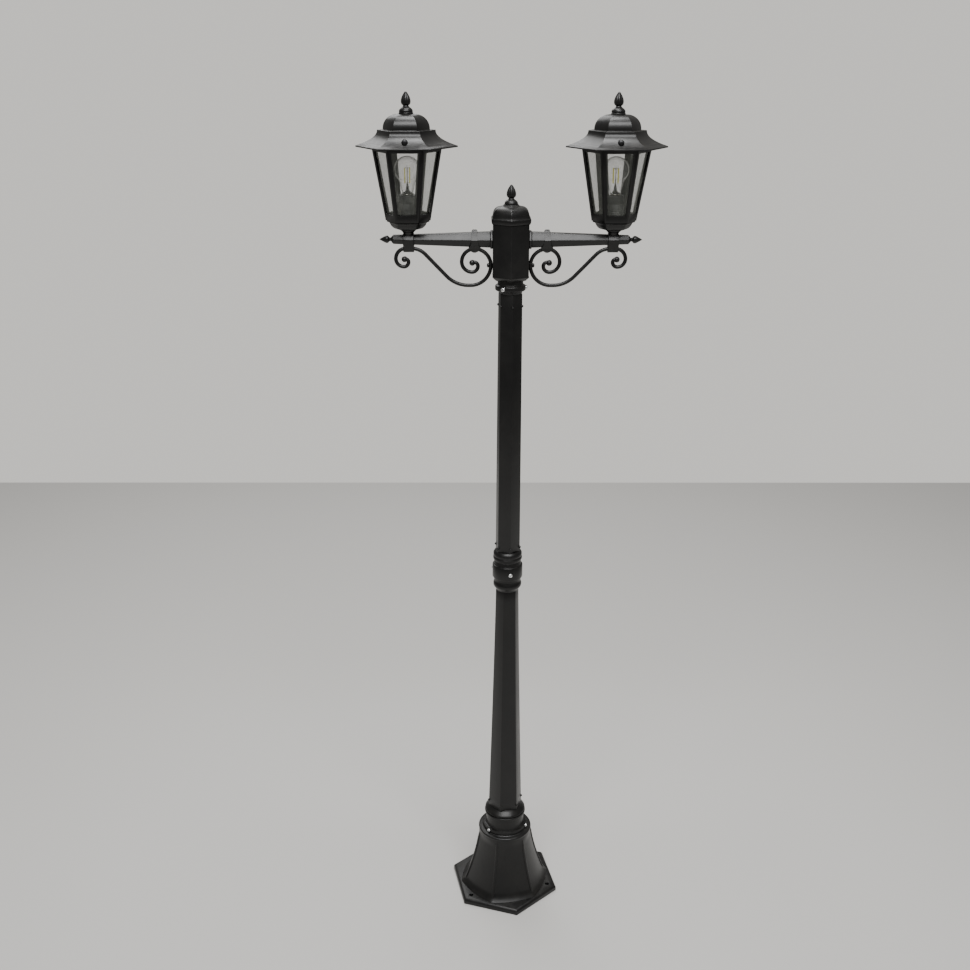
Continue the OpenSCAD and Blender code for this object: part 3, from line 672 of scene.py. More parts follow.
def acorn(bench: Bench) -> bmesh.types.BMesh:
    """The acorn finial, standing on the origin.

    Args:
        bench: The bench that turns it.

    Returns:
        The finial.
    """
    cup = [(0, -9), (4, -9), (4, 0), (16.4, 0), (16.4, 2.2), (15.6, 3.1), (15.2, 3.7), (15.6, 4.6),
           (15.6, 6.4), (15.1, 8.2), (14.1, 9.9), (12.4, 11.7), (10.3, 13.3), (8.3, 14.7), (7, 16),
           (6.3, 17.2), (6.2, 18.1)]
    bud = [(6.9, 18.5), (8.3, 19.6), (9.5, 21.4), (10.2, 23.6), (10.5, 26), (10.4, 28.6), (9.9, 31.4),
           (9.1, 34.2), (8, 37), (6.7, 39.8), (5.3, 42.4), (4, 44.6), (2.8, 46.4), (1.5, 47.6), (0, 48)]
    bm = bench.turned([*cup, *bud], 64)
    lobes, depth = 8, 0.045
    for vert in bm.verts:
        z = vert.co.z / MM
        share = min(1, max(0, (z - 18.3) / 3)) * min(1, max(0, (47 - z) / 8))
        vert.co.xy *= 1 + depth * share * math.cos(lobes * math.atan2(vert.co.y, vert.co.x))
    bmesh.ops.recalc_face_normals(bm, faces=bm.faces)
    return bm


def set_screw(bench: Bench, seat: float, height: float) -> bmesh.types.BMesh:
    """A button-headed set screw on +X.

    Args:
        bench: The bench that turns it.
        seat: Radius that its head sits on.
        height: Height of its axis.

    Returns:
        The screw with its hexagon socket.
    """
    head = [(0, -12), (2.9, -12), (2.9, 0), (5.2, 0), (5.2, 1.2), (5, 2), (4.4, 2.9), (3.4, 3.5), (2.2, 3.75)]
    rim = bench.turned([*head, (1.9, 3.7), (1.75, 3.4), (1.7, 1.6), (0, 1.3)], 36)
    return bench.moved(rim, up(seat, 0, height) @ FACE_X)


def refined(node: str, width: float, least: float) -> bmesh.types.BMesh:
    """Copies a CAD node's mesh and rounds its long sharp edges.

    Args:
        node: The CAD node.
        width: How far the rounding reaches, in millimetres.
        least: The shortest edge that is rounded, in millimetres.

    Returns:
        The rounded copy.
    """
    bm = bmesh.new()
    bm.from_mesh(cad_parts[node].data)
    bmesh.ops.remove_doubles(bm, verts=bm.verts, dist=2e-5)
    bmesh.ops.dissolve_limit(bm, angle_limit=math.radians(0.8), verts=bm.verts, edges=bm.edges)
    Bench.ease(bm, width, 22, least=least)
    bmesh.ops.recalc_face_normals(bm, faces=bm.faces)
    for layer in [name for name in bm.loops.layers.float_vector.keys() if "normal" in name]:
        bm.loops.layers.float_vector.remove(bm.loops.layers.float_vector[layer])
    return bm


def dress(slot: Slot, *nodes: str) -> None:
    """Gives CAD nodes whose shape is kept a slot's finish.

    Args:
        slot: The slot.
        *nodes: The nodes.
    """
    for node in nodes:
        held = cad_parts[node].data.materials
        held.clear()
        held.append(slot.material)
        log.info("%s: kept, in %s", node, slot.value.name)


# ---------------------------------------------------------------- base and post


@dataclass
class Base:
    """The hollow hexagonal base with its flange, ribs, collar and neck."""

    turn: float = 12
    flange_r: float = 153
    flange_t: float = 16
    foot_r: float = 116
    top_r: float = 72
    top_z: float = 194
    wall: float = 6.9
    shelf_z: float = 140
    fillet: float = 7
    rib_w: float = 7
    rib_proud: float = 2
    roundness: float = 0.5
    shelf_t: float = 10
    gland_r: float = 10.1
    hollow_r: float = 117
    round_r: float = 55
    collar_r: float = 60
    neck_r: float = 52
    neck_bore: float = 40.1
    neck_z: float = 240
    anchor_r: float = 5.5
    anchor_ring: float = 127
    screw_turn: float = 102

    def bell(self, count: int = 56) -> list[tuple[float, float]]:
        """The bell's corner line.

        Args:
            count: Steps up the bell.

        Returns:
            (radius, height) pairs from the foot up.
        """
        low = self.flange_t + 2
        shares = (i / count for i in range(count + 1))
        span = self.foot_r - self.top_r
        flare = (self.top_r + span * (1 - s) ** 1.55 + self.fillet * max(0.0, 1 - s / 0.11) ** 2.4
                 for s in shares)
        return [(r, low + (self.top_z - low) * i / count) for i, r in enumerate(flare)]

    def flange(self, bench: Bench) -> None:
        """Makes the floor flange with its three anchor holes."""
        r, t = self.flange_r, self.flange_t
        edge = [(0, 0), (r, 0), (r, t - 5), (r - 4, t - 1), (r - 8, t), (0, t)]
        slab = bench.ease(bench.turned(edge, 6, self.turn + 30), 1.1)
        piece = bench.post_piece(slab, "flange")
        hole = bench.turned([(0, -1), (self.hollow_r, -1), (self.hollow_r, t + 1), (0, t + 1)], 6, self.turn)
        bore = self.anchor_r
        anchor = [(0, -1), (bore, -1), (bore, t - 0.7), (bore + 1, t + 0.3), (bore + 1, t + 1), (0, t + 1)]
        anchors = bench.around(3, self.screw_turn, lambda: bench.moved(bench.turned(anchor, 36),
                                                                       up(self.anchor_ring)))
        bench.carve(piece, bench.join(hole, anchors))

    def casting(self, bench: Bench) -> None:
        """Makes the bell, collar and neck in one turned wall whose foot is pressed six-sided."""
        outer = self.bell()
        inner = [(min(r - self.wall, self.hollow_r), z) for r, z in outer if z < self.shelf_z - 1]
        top = self.top_z
        lip = [(self.top_r + 0.8, top - 5), (self.top_r + 1, top - 3.6), (self.top_r + 0.7, top - 2),
               (self.top_r - 0.2, top - 0.8), (self.top_r - 1.6, top - 0.1), (64, top + 0.6),
               (61.4, top + 1.1), (60.2, top + 2.2), (self.collar_r, top + 4), (self.collar_r, top + 11.2),
               (59.5, top + 12.4), (58.3, top + 13), (55, top + 13.1), (53, top + 14), (52.1, top + 16),
               (self.neck_r, top + 19), (self.neck_r, self.neck_z)]
        shelf_top = self.shelf_z + self.shelf_t
        wall = [(self.gland_r, self.shelf_z), (self.top_r - 10, self.shelf_z), *reversed(inner),
                (self.hollow_r, 0), (self.hollow_r, 3), (self.foot_r, 3),
                (self.foot_r + 8.6, self.flange_t - 1), (self.foot_r + 8.6, self.flange_t + 0.6),
                *[p for p in outer if p[1] < top - 5], *lip, (self.neck_bore, self.neck_z),
                (self.neck_bore, shelf_top), (self.gland_r, shelf_top)]
        bm = bench.turned(wall, 96, self.turn, closed=True)
        for vert in bm.verts:
            reach = vert.co.xy.length
            if reach < self.round_r * MM or vert.co.z > (top - 4) * MM:
                continue
            angle = math.degrees(math.atan2(vert.co.y, vert.co.x)) - self.turn
            flat = HEX_COS / math.cos(math.radians(angle % 60 - 30))
            flat += (1 - flat) * self.roundness
            share = min(1.0, max(0.0, (vert.co.z / MM - (top - 34)) / 30))
            vert.co.xy *= flat + (1 - flat) * share * share * (3 - 2 * share)
        bmesh.ops.recalc_face_normals(bm, faces=bm.faces)
        ribs = bench.around(6, self.turn, lambda: self.rib(bench))
        bench.post_piece(bench.join(bm, ribs), "bell", "base_casting")

    def rib(self, bench: Bench) -> bmesh.types.BMesh:
        """Makes one corner rib."""
        line = [(r + self.rib_proud - self.fillet * max(0.0, 1 - i / 6) ** 2.4, z)
                for i, (r, z) in enumerate(self.bell()) if z < self.top_z - 34]
        outline = [*line, (self.top_r - 0.5, self.top_z - 10), (self.top_r - 6, 15),
                   (self.foot_r + self.rib_proud, 15)]
        return bench.ease(bench.plate(outline, self.rib_w, FACE_FRONT), 2.2, 40, 4)

    def build(self, bench: Bench) -> None:
        """Builds and dresses the base."""
        self.flange(bench)
        self.casting(bench)
        screws = bench.around(3, self.screw_turn, lambda: set_screw(bench, self.collar_r, self.top_z + 7.3))
        bench.post_piece(screws, "collar_screws", "base_screws", slot=Slot.ZINC)
        dress(Slot.NYLON, "base_gland")


@dataclass
class Column:
    """The two six-sided posts, with their corner beads and the trim ring between base and post."""

    lower_turn: float = 12
    upper_turn: float = 40
    bore: float = 19
    lower_z: float = 266
    mid_z: float = 930
    upper_z: float = 1040
    top_z: float = 1700
    foot_r: float = 46.6
    shoulder_r: float = 30.3
    upper_foot_r: float = 32.5
    upper_top_r: float = 30
    bead_r: float = 3.3
    trim_r: float = 56
    trim_z: float = 240

    def lower_r(self, share: float) -> float:
        """Corner radius of the lower post at a share of its height.

        Args:
            share: The height, from 0 at the foot to 1.

        Returns:
            The radius in millimetres.
        """
        return self.shoulder_r + (self.foot_r - self.shoulder_r) * (1 - share) ** 1.15

    def beads(self, bench: Bench, reach: float, z: float, turn: float) -> bmesh.types.BMesh:
        """Makes the six beads that end the corner edges.

        Args:
            bench: The bench.
            reach: Corner radius at their height.
            z: Their height.
            turn: Where the first one stands, in degrees.

        Returns:
            The beads.
        """
        def one() -> bmesh.types.BMesh:
            """Makes one bead."""
            bm = bmesh.new()
            bmesh.ops.create_uvsphere(bm, u_segments=20, v_segments=12, radius=self.bead_r * MM,
                                      matrix=up(reach - 0.6, 0, z))
            return bm
        return bench.around(6, turn, one)

    def lower(self, bench: Bench) -> None:
        """Makes the lower post with its spigots."""
        span = self.mid_z - self.lower_z
        line = [(self.lower_r(i / 24), self.lower_z + span * i / 24) for i in range(25)]
        wall = [(self.bore, self.lower_z), *line, (self.bore, self.mid_z)]
        shaft = bench.ease(bench.turned(wall, 6, self.lower_turn, True), 1.3)
        bore = self.bore
        foot = bench.turned([(bore, 150), (39.6, 150), (40, 151), (40, 267), (bore, 267)], 64, 0, True)
        head = bench.turned([(bore, 929), (24, 929), (24, 984.5), (23.5, 985), (bore, 985)], 64, 0, True)
        beads = self.beads(bench, self.lower_r(0.02), self.lower_z + 15, self.lower_turn)
        bench.post_piece(bench.join(shaft, foot, head, beads), "lower_shaft", "lower_post")

    def upper(self, bench: Bench) -> None:
        """Makes the upper post with its spigots."""
        r1, r2, z1, z2 = self.upper_foot_r, self.upper_top_r, self.upper_z, self.top_z
        line = [(r1, z1), ((r1 + r2) / 2, z1 + 0.6 * (z2 - z1)), (r2, z2)]
        shaft = bench.ease(bench.turned([(self.bore, z1), *line, (self.bore, z2)], 6, self.upper_turn, True),
                           1.1)
        bore = self.bore
        foot = bench.turned([(bore, 985), (23.5, 985), (24, 985.5), (24, 1041), (bore, 1041)], 64, 0, True)
        head = bench.turned([(bore, 1699), (22, 1699), (22, 1741.5), (21.5, 1742), (bore, 1742)], 64, 0, True)
        beads = [self.beads(bench, r1, z1 + 11, self.upper_turn),
                 self.beads(bench, r2, z2 - 29, self.upper_turn)]
        bench.post_piece(bench.join(shaft, foot, head, *beads), "upper_shaft", "upper_post")

    def trim(self, bench: Bench) -> None:
        """Makes the moulded ring under the lower post."""
        r, z = self.trim_r, self.trim_z
        line = [(40.1, 0), (r - 1, 0), (r, 1.2), (r, 6.2), (r - 1.2, 7.6), (r - 4, 8.2), (r - 3.6, 9.4),
                (r - 1.3, 10.8), (r - 0.9, 11.8), (r - 1, 12.6), (r - 1.6, 13.8), (r - 4, 16.2),
                (r - 7, 18.9), (r - 10.5, 21.8), (r - 14.4, 25), (r - 15, 26), (40.1, 26)]
        ring = bench.ease(bench.turned([(a, z + b) for a, b in line], 96, 0, True), 0.5, 30)
        bench.post_piece(ring, "foot_ring", "trim_ring")

    def build(self, bench: Bench) -> None:
        """Builds and dresses the column."""
        self.trim(bench)
        self.lower(bench)
        self.upper(bench)


@dataclass
class MiddleCollar:
    """The moulded collar where the two posts meet."""

    r: float = 38.5
    bore: float = 24.1
    lower_z: float = 930
    sleeve_z: float = 958
    upper_z: float = 1012
    screw_turn: float = 40

    def ring(self, bench: Bench, name: str, node: str, z: float, line: Outline, ease: float = 0.6) -> None:
        """Makes one ring of the collar.

        Args:
            bench: The bench.
            name: The piece's name.
            node: The CAD node that it stands for.
            z: Its foot.
            line: How far inside the largest radius each point lies, and how high above the foot.
            ease: Rounding of its edges.
        """
        outline = [(self.bore, z), *[(self.r - a, z + b) for a, b in line], (self.bore, z + line[-1][1])]
        bench.post_piece(bench.ease(bench.turned(outline, 80, 0, True), ease, 26, 3), name, node)

    def build(self, bench: Bench) -> None:
        """Builds and dresses the collar."""
        self.ring(bench, "collar_cup", "mid_lower_ring", self.lower_z,
                  [(9, 0), (8.4, 2.4), (7, 5), (5.2, 7.4), (3.5, 10), (2.5, 12.4), (2.3, 15), (2.3, 18),
                   (3.4, 21.5), (4.8, 24), (4.8, 28)])
        self.ring(bench, "collar_sleeve", "mid_sleeve", self.sleeve_z,
                  [(4, 0), (3.8, 7), (0.8, 8), (0, 10), (0, 41), (0.8, 43), (3.8, 44), (4, 54)], 0.7)
        self.ring(bench, "collar_crown", "mid_upper_ring", self.upper_z,
                  [(4, 0), (3.4, 3), (1.6, 5), (1.5, 9.5), (3.2, 12), (3.2, 13.5), (2, 16), (2.2, 21),
                   (4.4, 25), (7.5, 28)])
        screws = bench.around(3, self.screw_turn, lambda: set_screw(bench, self.r, self.sleeve_z + 25))
        bench.post_piece(screws, "sleeve_screws", "mid_screws", slot=Slot.ZINC)


@dataclass
class Head:
    """The six-sided casing that the arms grow from, its collar, cap and finial."""

    flats: float = 83.5
    floor_z: float = 1732
    cap_z: float = 1862
    cap_h: float = 39
    collar_z: float = 1700
    collar_r: float = 36
    wall: float = 6
    chamfer: float = 9

    def collar(self, bench: Bench) -> None:
        """Makes the collar under the casing and its set screws."""
        r, z = self.collar_r, self.collar_z
        line = [(22.1, 0), (r - 8.5, 0), (r - 8.2, 2.6), (r - 7.2, 4.8), (r - 5, 6.3), (r - 2, 7.5),
                (r - 0.6, 8.7), (r, 10.5), (r, 17.5), (r - 0.6, 19), (r - 2, 20), (r - 5, 21.5), (r - 6, 25),
                (r - 5, 32), (22.1, 32)]
        ring = bench.ease(bench.turned([(a, z + b) for a, b in line], 80, 0, True), 0.6, 26, 3)
        bench.post_piece(ring, "neck_collar", "top_collar")
        screws = bench.around(3, 0, lambda: set_screw(bench, r, z + 14))
        bench.post_piece(screws, "neck_screws", "top_screws", slot=Slot.ZINC)

    def casing(self, bench: Bench) -> None:
        """Makes the hollow casing."""
        r = self.flats / 2 / HEX_COS
        inner = (self.flats / 2 - self.wall) / HEX_COS
        z = self.floor_z
        outline = [(25.6, z), (r - self.chamfer, z), (r - 0.4, z + self.chamfer - 1.6),
                   (r + 0.9, z + self.chamfer), (r + 0.9, z + self.chamfer + 1.2), (r, z + self.chamfer + 3),
                   (r, self.cap_z), (inner, self.cap_z), (inner, z + 10), (25.6, z + 10)]
        bench.post_piece(bench.ease(bench.turned(outline, 6, 30, True), 0.9, 40, 3), "casing", "head_casing")

    def cap(self, bench: Bench) -> None:
        """Makes the moulded cap and its finial."""
        r, z, h = self.flats / 2 / HEX_COS, self.cap_z, self.cap_h
        plug = (self.flats / 2 - self.wall - 0.5) / HEX_COS
        outline = [(0, z + 30), (plug - self.wall, z + 30), (plug - self.wall, z - 8), (plug, z - 8),
                   (plug, z), (r + 1, z), (r + 2.2, z + 1.2), (r + 3.2, z + 3), (r + 4.3, z + 7),
                   (r + 4.6, z + 11), (r + 4, z + 12.4), (r + 3, z + 13), (r + 1.6, z + 14.4),
                   (r + 0.6, z + 17), (r, z + 20), (r - 0.8, z + h * 0.6), (r - 2, z + h * 0.68),
                   (r - 3.9, z + h * 0.76), (r - 6.6, z + h * 0.83), (r - 10.2, z + h * 0.89),
                   (r - 14.5, z + h * 0.935), (r - 19.5, z + h * 0.965), (25, z + h * 0.985), (22.4, z + h),
                   (20.6, z + h + 1.6), (19.2, z + h + 3.6), (0, z + h + 3.6)]
        bench.post_piece(bench.ease(bench.turned(outline, 6, 30), 0.9, 30, 3), "cap", "head_cap", smooth=24)
        bench.post_piece(bench.moved(acorn(bench), up(0, 0, z + h)), "cap_acorn", "head_finial")

    def build(self, bench: Bench) -> None:
        """Builds and dresses the head."""
        self.collar(bench)
        self.casing(bench)
        self.cap(bench)
        dress(Slot.NUT, "arm_nuts")
        dress(Slot.TERMINAL, "terminal_block")
        dress(Slot.CABLE, "supply_cable")


# ---------------------------------------------------------------- arms


@dataclass
class Arm:
    """One arm with its root plate, tip, scroll, clip and saddle, drawn on the right."""

    side: Side
    z: float = 1825
    root_x: float = 47.75
    end_x: float = 273
    root_t: float = 35
    end_t: float = 20
    reach: float = 237
    plate_x: float = 41.75
    bar_r: float = 4.5
    eye_r: float = 7
    foot: tuple[float, float] = (46.25, 1765.13)
    unit: float = 0.99962
    clip_x: float = 84.24
    crest_z: float = 1804
    inner_crest_z: float = 1803.12
    seat_z: float = 1849
    inner: tuple = ((38, -90), (30, -90), (24, -90), (14, -90), (9, -120))
    outer: tuple = ((47, 90), (0, 6), (70, 46), (0, 71), (44, -46), (0, 13), (24, -90), (18.5, -90),
                    (11, -90), (7, -110))

    @property
    def mirror(self) -> Matrix:
        """The move from the right side to this side."""
        return Matrix.Diagonal((self.side.value, 1, 1, 1))

    def place(self, bench: Bench, bm: bmesh.types.BMesh, name: str, node: str, smooth: float = 32) -> Object:
        """Mirrors a shape to this side and hands it over.

        Args:
            bench: The bench.
            bm: The shape, drawn on the right.
            name: The piece's name, without its side.
            node: The CAD node that it stands for, without its side.
            smooth: The sharpest fold that still shades smooth, in degrees.

        Returns:
            The piece.
        """
        word = self.side.word
        return bench.post_piece(bench.moved(bm, self.mirror), f"{word}_{name}", f"{word}_{node}",
                                smooth=smooth)

    def half(self, x: float) -> float:
        """Half the arm's height at x.

        Args:
            x: The distance from the post's axis.

        Returns:
            The half height in millimetres.
        """
        return (self.root_t - (self.root_t - self.end_t) * (x - self.root_x) / (self.end_x - self.root_x)) / 2

    def bar(self, bench: Bench) -> None:
        """Makes the tapered six-sided bar, its root plate and its turned tip."""
        bm = bmesh.new()
        span = self.end_x - self.root_x
        middle = Matrix.Translation(((self.root_x + span / 2) * MM, 0, self.z * MM))
        bmesh.ops.create_cone(bm, cap_ends=True, cap_tris=False, segments=6,
                              radius1=self.root_t / 2 / HEX_COS * MM, radius2=self.end_t / 2 / HEX_COS * MM,
                              depth=span * MM, matrix=middle @ FACE_X)
        self.place(bench, bench.ease(bm, 1.1, 24, 3), "arm_bar", "arm")
        plate = bench.turned([(0, 0), (23.1, 0), (23.1, 6), (0, 6)], 6, 90)
        self.place(bench, bench.moved(bench.ease(plate, 1.4, 24, 3), up(self.plate_x, 0, self.z) @ FACE_X),
                   "root_plate", "arm_plate")
        bud = [(0, -14), (4, -14), (4, 0), (8.3, 0), (8.7, 0.6), (8.5, 1.6), (7, 2.6), (5.2, 4), (4.3, 5.4),
               (4.2, 6.6), (4.8, 8.2), (6.2, 9.5), (7.6, 10.6), (8.4, 12), (8.7, 13.6), (8.4, 16),
               (7.6, 18.3), (6.4, 20.6), (4.9, 23.4), (3.3, 26.4), (2, 28.6), (1, 30.4), (0.5, 30.9), (0, 31)]
        self.place(bench, bench.moved(bench.turned(bud, 40), up(self.end_x, 0, self.z) @ FACE_X), "tip_bud",
                   "arm_tip")

    def sweep(self, heading: float, steps: Sequence[tuple[float, float]]) -> bmesh.types.BMesh:
        """Sweeps the scroll's round bar through its bends.

        Args:
            heading: The way that the bar sets off, in degrees from X towards Z.
            steps: Bend radius and degrees, left turns positive, or 0 and a length.

        Returns:
            The bar with a ball on its end.
        """
        bm = bmesh.new()
        x, z = self.foot
        bmesh.ops.create_circle(bm, cap_ends=True, radius=self.bar_r * MM, segments=16,
                                matrix=up(x, 0, z) @ spun(90 - heading, "Y"))
        front: list = [*bm.verts, *bm.edges]
        for radius, amount in steps:
            ahead = Vector((math.cos(math.radians(heading)), math.sin(math.radians(heading))))
            if radius == 0:
                step = ahead * amount * self.unit
                rim = [g for g in front if isinstance(g, bmesh.types.BMEdge)]
                grown = bmesh.ops.extrude_edge_only(bm, edges=rim)["geom"]
                verts = [g for g in grown if isinstance(g, bmesh.types.BMVert)]
                edges = [g for g in grown if isinstance(g, bmesh.types.BMEdge)
                         and all(v in verts for v in g.verts)]
                front = [*verts, *edges]
                bmesh.ops.translate(bm, verts=verts, vec=(step.x * MM, 0, step.y * MM))
                x, z = x + step.x, z + step.y
                continue
            hand = math.copysign(1, amount)
            cx, cz = x - hand * radius * self.unit * ahead.y, z + hand * radius * self.unit * ahead.x
            front = bmesh.ops.spin(bm, geom=front, cent=(cx * MM, 0, cz * MM), axis=(0, -hand, 0),
                                   angle=math.radians(abs(amount)),
                                   steps=max(4, round(abs(amount) / 6)))["geom_last"]
            heading += amount
            out = math.radians(heading)
            x, z = cx + hand * radius * self.unit * math.sin(out), cz - hand * radius * self.unit * math.cos(out)
        bmesh.ops.holes_fill(bm, edges=bm.edges, sides=0)
        bmesh.ops.recalc_face_normals(bm, faces=bm.faces)
        ball = bmesh.new()
        bmesh.ops.create_uvsphere(ball, u_segments=28, v_segments=18, radius=self.eye_r * MM,
                                  matrix=up(x, 0, z) @ FACE_FRONT)
        return Bench.join(bm, ball)

    def scroll(self, bench: Bench) -> None:
        """Makes the scroll, its clip and the bolt at its foot."""
        x, z = self.foot
        boss = bench.ease(bench.turned([(0, -5.5), (5, -5.5), (5, 5.5), (0, 5.5)], 32), 0.8)
        bars = bench.join(self.sweep(90, self.inner), self.sweep(-90, self.outer),
                          bench.moved(boss, up(x, 0, z)))
        self.place(bench, bars, "scroll_bar", "scroll", smooth=40)
        h, c, low = self.half(self.clip_x), self.z, self.inner_crest_z
        ring = [(0, c + h + 7), (h * 0.5, c + h + 4), (h + 7, c), (h * 0.6, c - h - 3), (7.5, low - 5.5),
                (0, low - 9.5), (-7.5, low - 5.5), (-h * 0.6, c - h - 3), (-h - 7, c), (-h * 0.5, c + h + 4)]
        clip = self.place(bench, self.across(bench, ring, 34, self.clip_x), "clip", "scroll_clip")
        leaf = [(0, c + h + 8.6), (2.6, c + h + 7.6), (4.8, c + h + 5.6), (6.4, c + h + 2.6), (7, c + h - 1),
                (7, c), (7.6, c - 6), (10, c - h + 3), (13.6, c - h - 1.5), (14, c - h - 4), (11, low - 2),
                (8, low - 5), (4.6, low - 7.4), (0, low - 12)]
        leaf += [(-a, b) for a, b in reversed(leaf[1:-1])]
        bench.carve(clip, bench.moved(bench.plate(leaf, 90, up(self.clip_x) @ FACE_FRONT), self.mirror),
                    keep=True)
        head = [(0, 0), (5, 0), (5, 2.4), (4.6, 3.2), (3.6, 4), (2, 4.5), (0, 4.6)]
        bolt = bench.join(bench.moved(bench.turned(head, 32), up(x + self.bar_r + 0.4, 0, z) @ FACE_X),
                          bench.moved(bench.turned([(0, -20), (2.5, -20), (2.5, 0), (0, 0)], 24),
                                      up(x + 5, 0, z) @ FACE_X),
                          bench.moved(bench.turned([(0, 0), (5, 0), (5, 4), (0, 4)], 6),
                                      up(31.7, 0, z) @ FACE_X))
        self.place(bench, bolt, "foot_bolt", "scroll_bolt")

    @staticmethod
    def across(bench: Bench, outline: Outline, width: float, x: float) -> bmesh.types.BMesh:
        """Makes a plate whose outline stands in the YZ plane.

        Args:
            bench: The bench.
            outline: (y, z) pairs in millimetres.
            width: Thickness along X.
            x: The plate's middle along X.

        Returns:
            The rounded plate.
        """
        stand = Matrix(((0, 0, 1, 0), (1, 0, 0, 0), (0, 1, 0, 0), (0, 0, 0, 1)))
        return bench.ease(bench.plate(outline, width, up(x) @ stand), 1.3, 20, 3)

    def saddle(self, bench: Bench) -> None:
        """Makes the saddle that carries the lantern."""
        h, c, low = self.half(self.reach), self.z, self.crest_z
        ring = [(9, c + h + 2.5), (h + 5, c), (9, low + 1), (7, low - 6.5), (0, low - 9), (-7, low - 6.5),
                (-9, low + 1), (-h - 5, c), (-9, c + h + 2.5)]
        top = self.seat_z
        neck = [(0, c + h - 1), (11.6, c + h - 1), (11.6, c + h + 1), (11.7, top - 12), (12.3, top - 9),
                (13.2, top - 7.2), (14.8, top - 5.6), (16.6, top - 4), (17.5, top - 2.4), (17.5, top),
                (0, top)]
        stem = bench.moved(bench.ease(bench.turned(neck, 56), 0.6, 30), up(self.reach))
        self.place(bench, bench.join(self.across(bench, ring, 25, self.reach), stem), "lantern_saddle",
                   "saddle")

    def build(self, bench: Bench) -> None:
        """Builds and dresses the arm."""
        self.bar(bench)
        self.scroll(bench)
        self.saddle(bench)
        dress(Slot.WIRE, f"{self.side.word}_lead")


# ---------------------------------------------------------------- lanterns


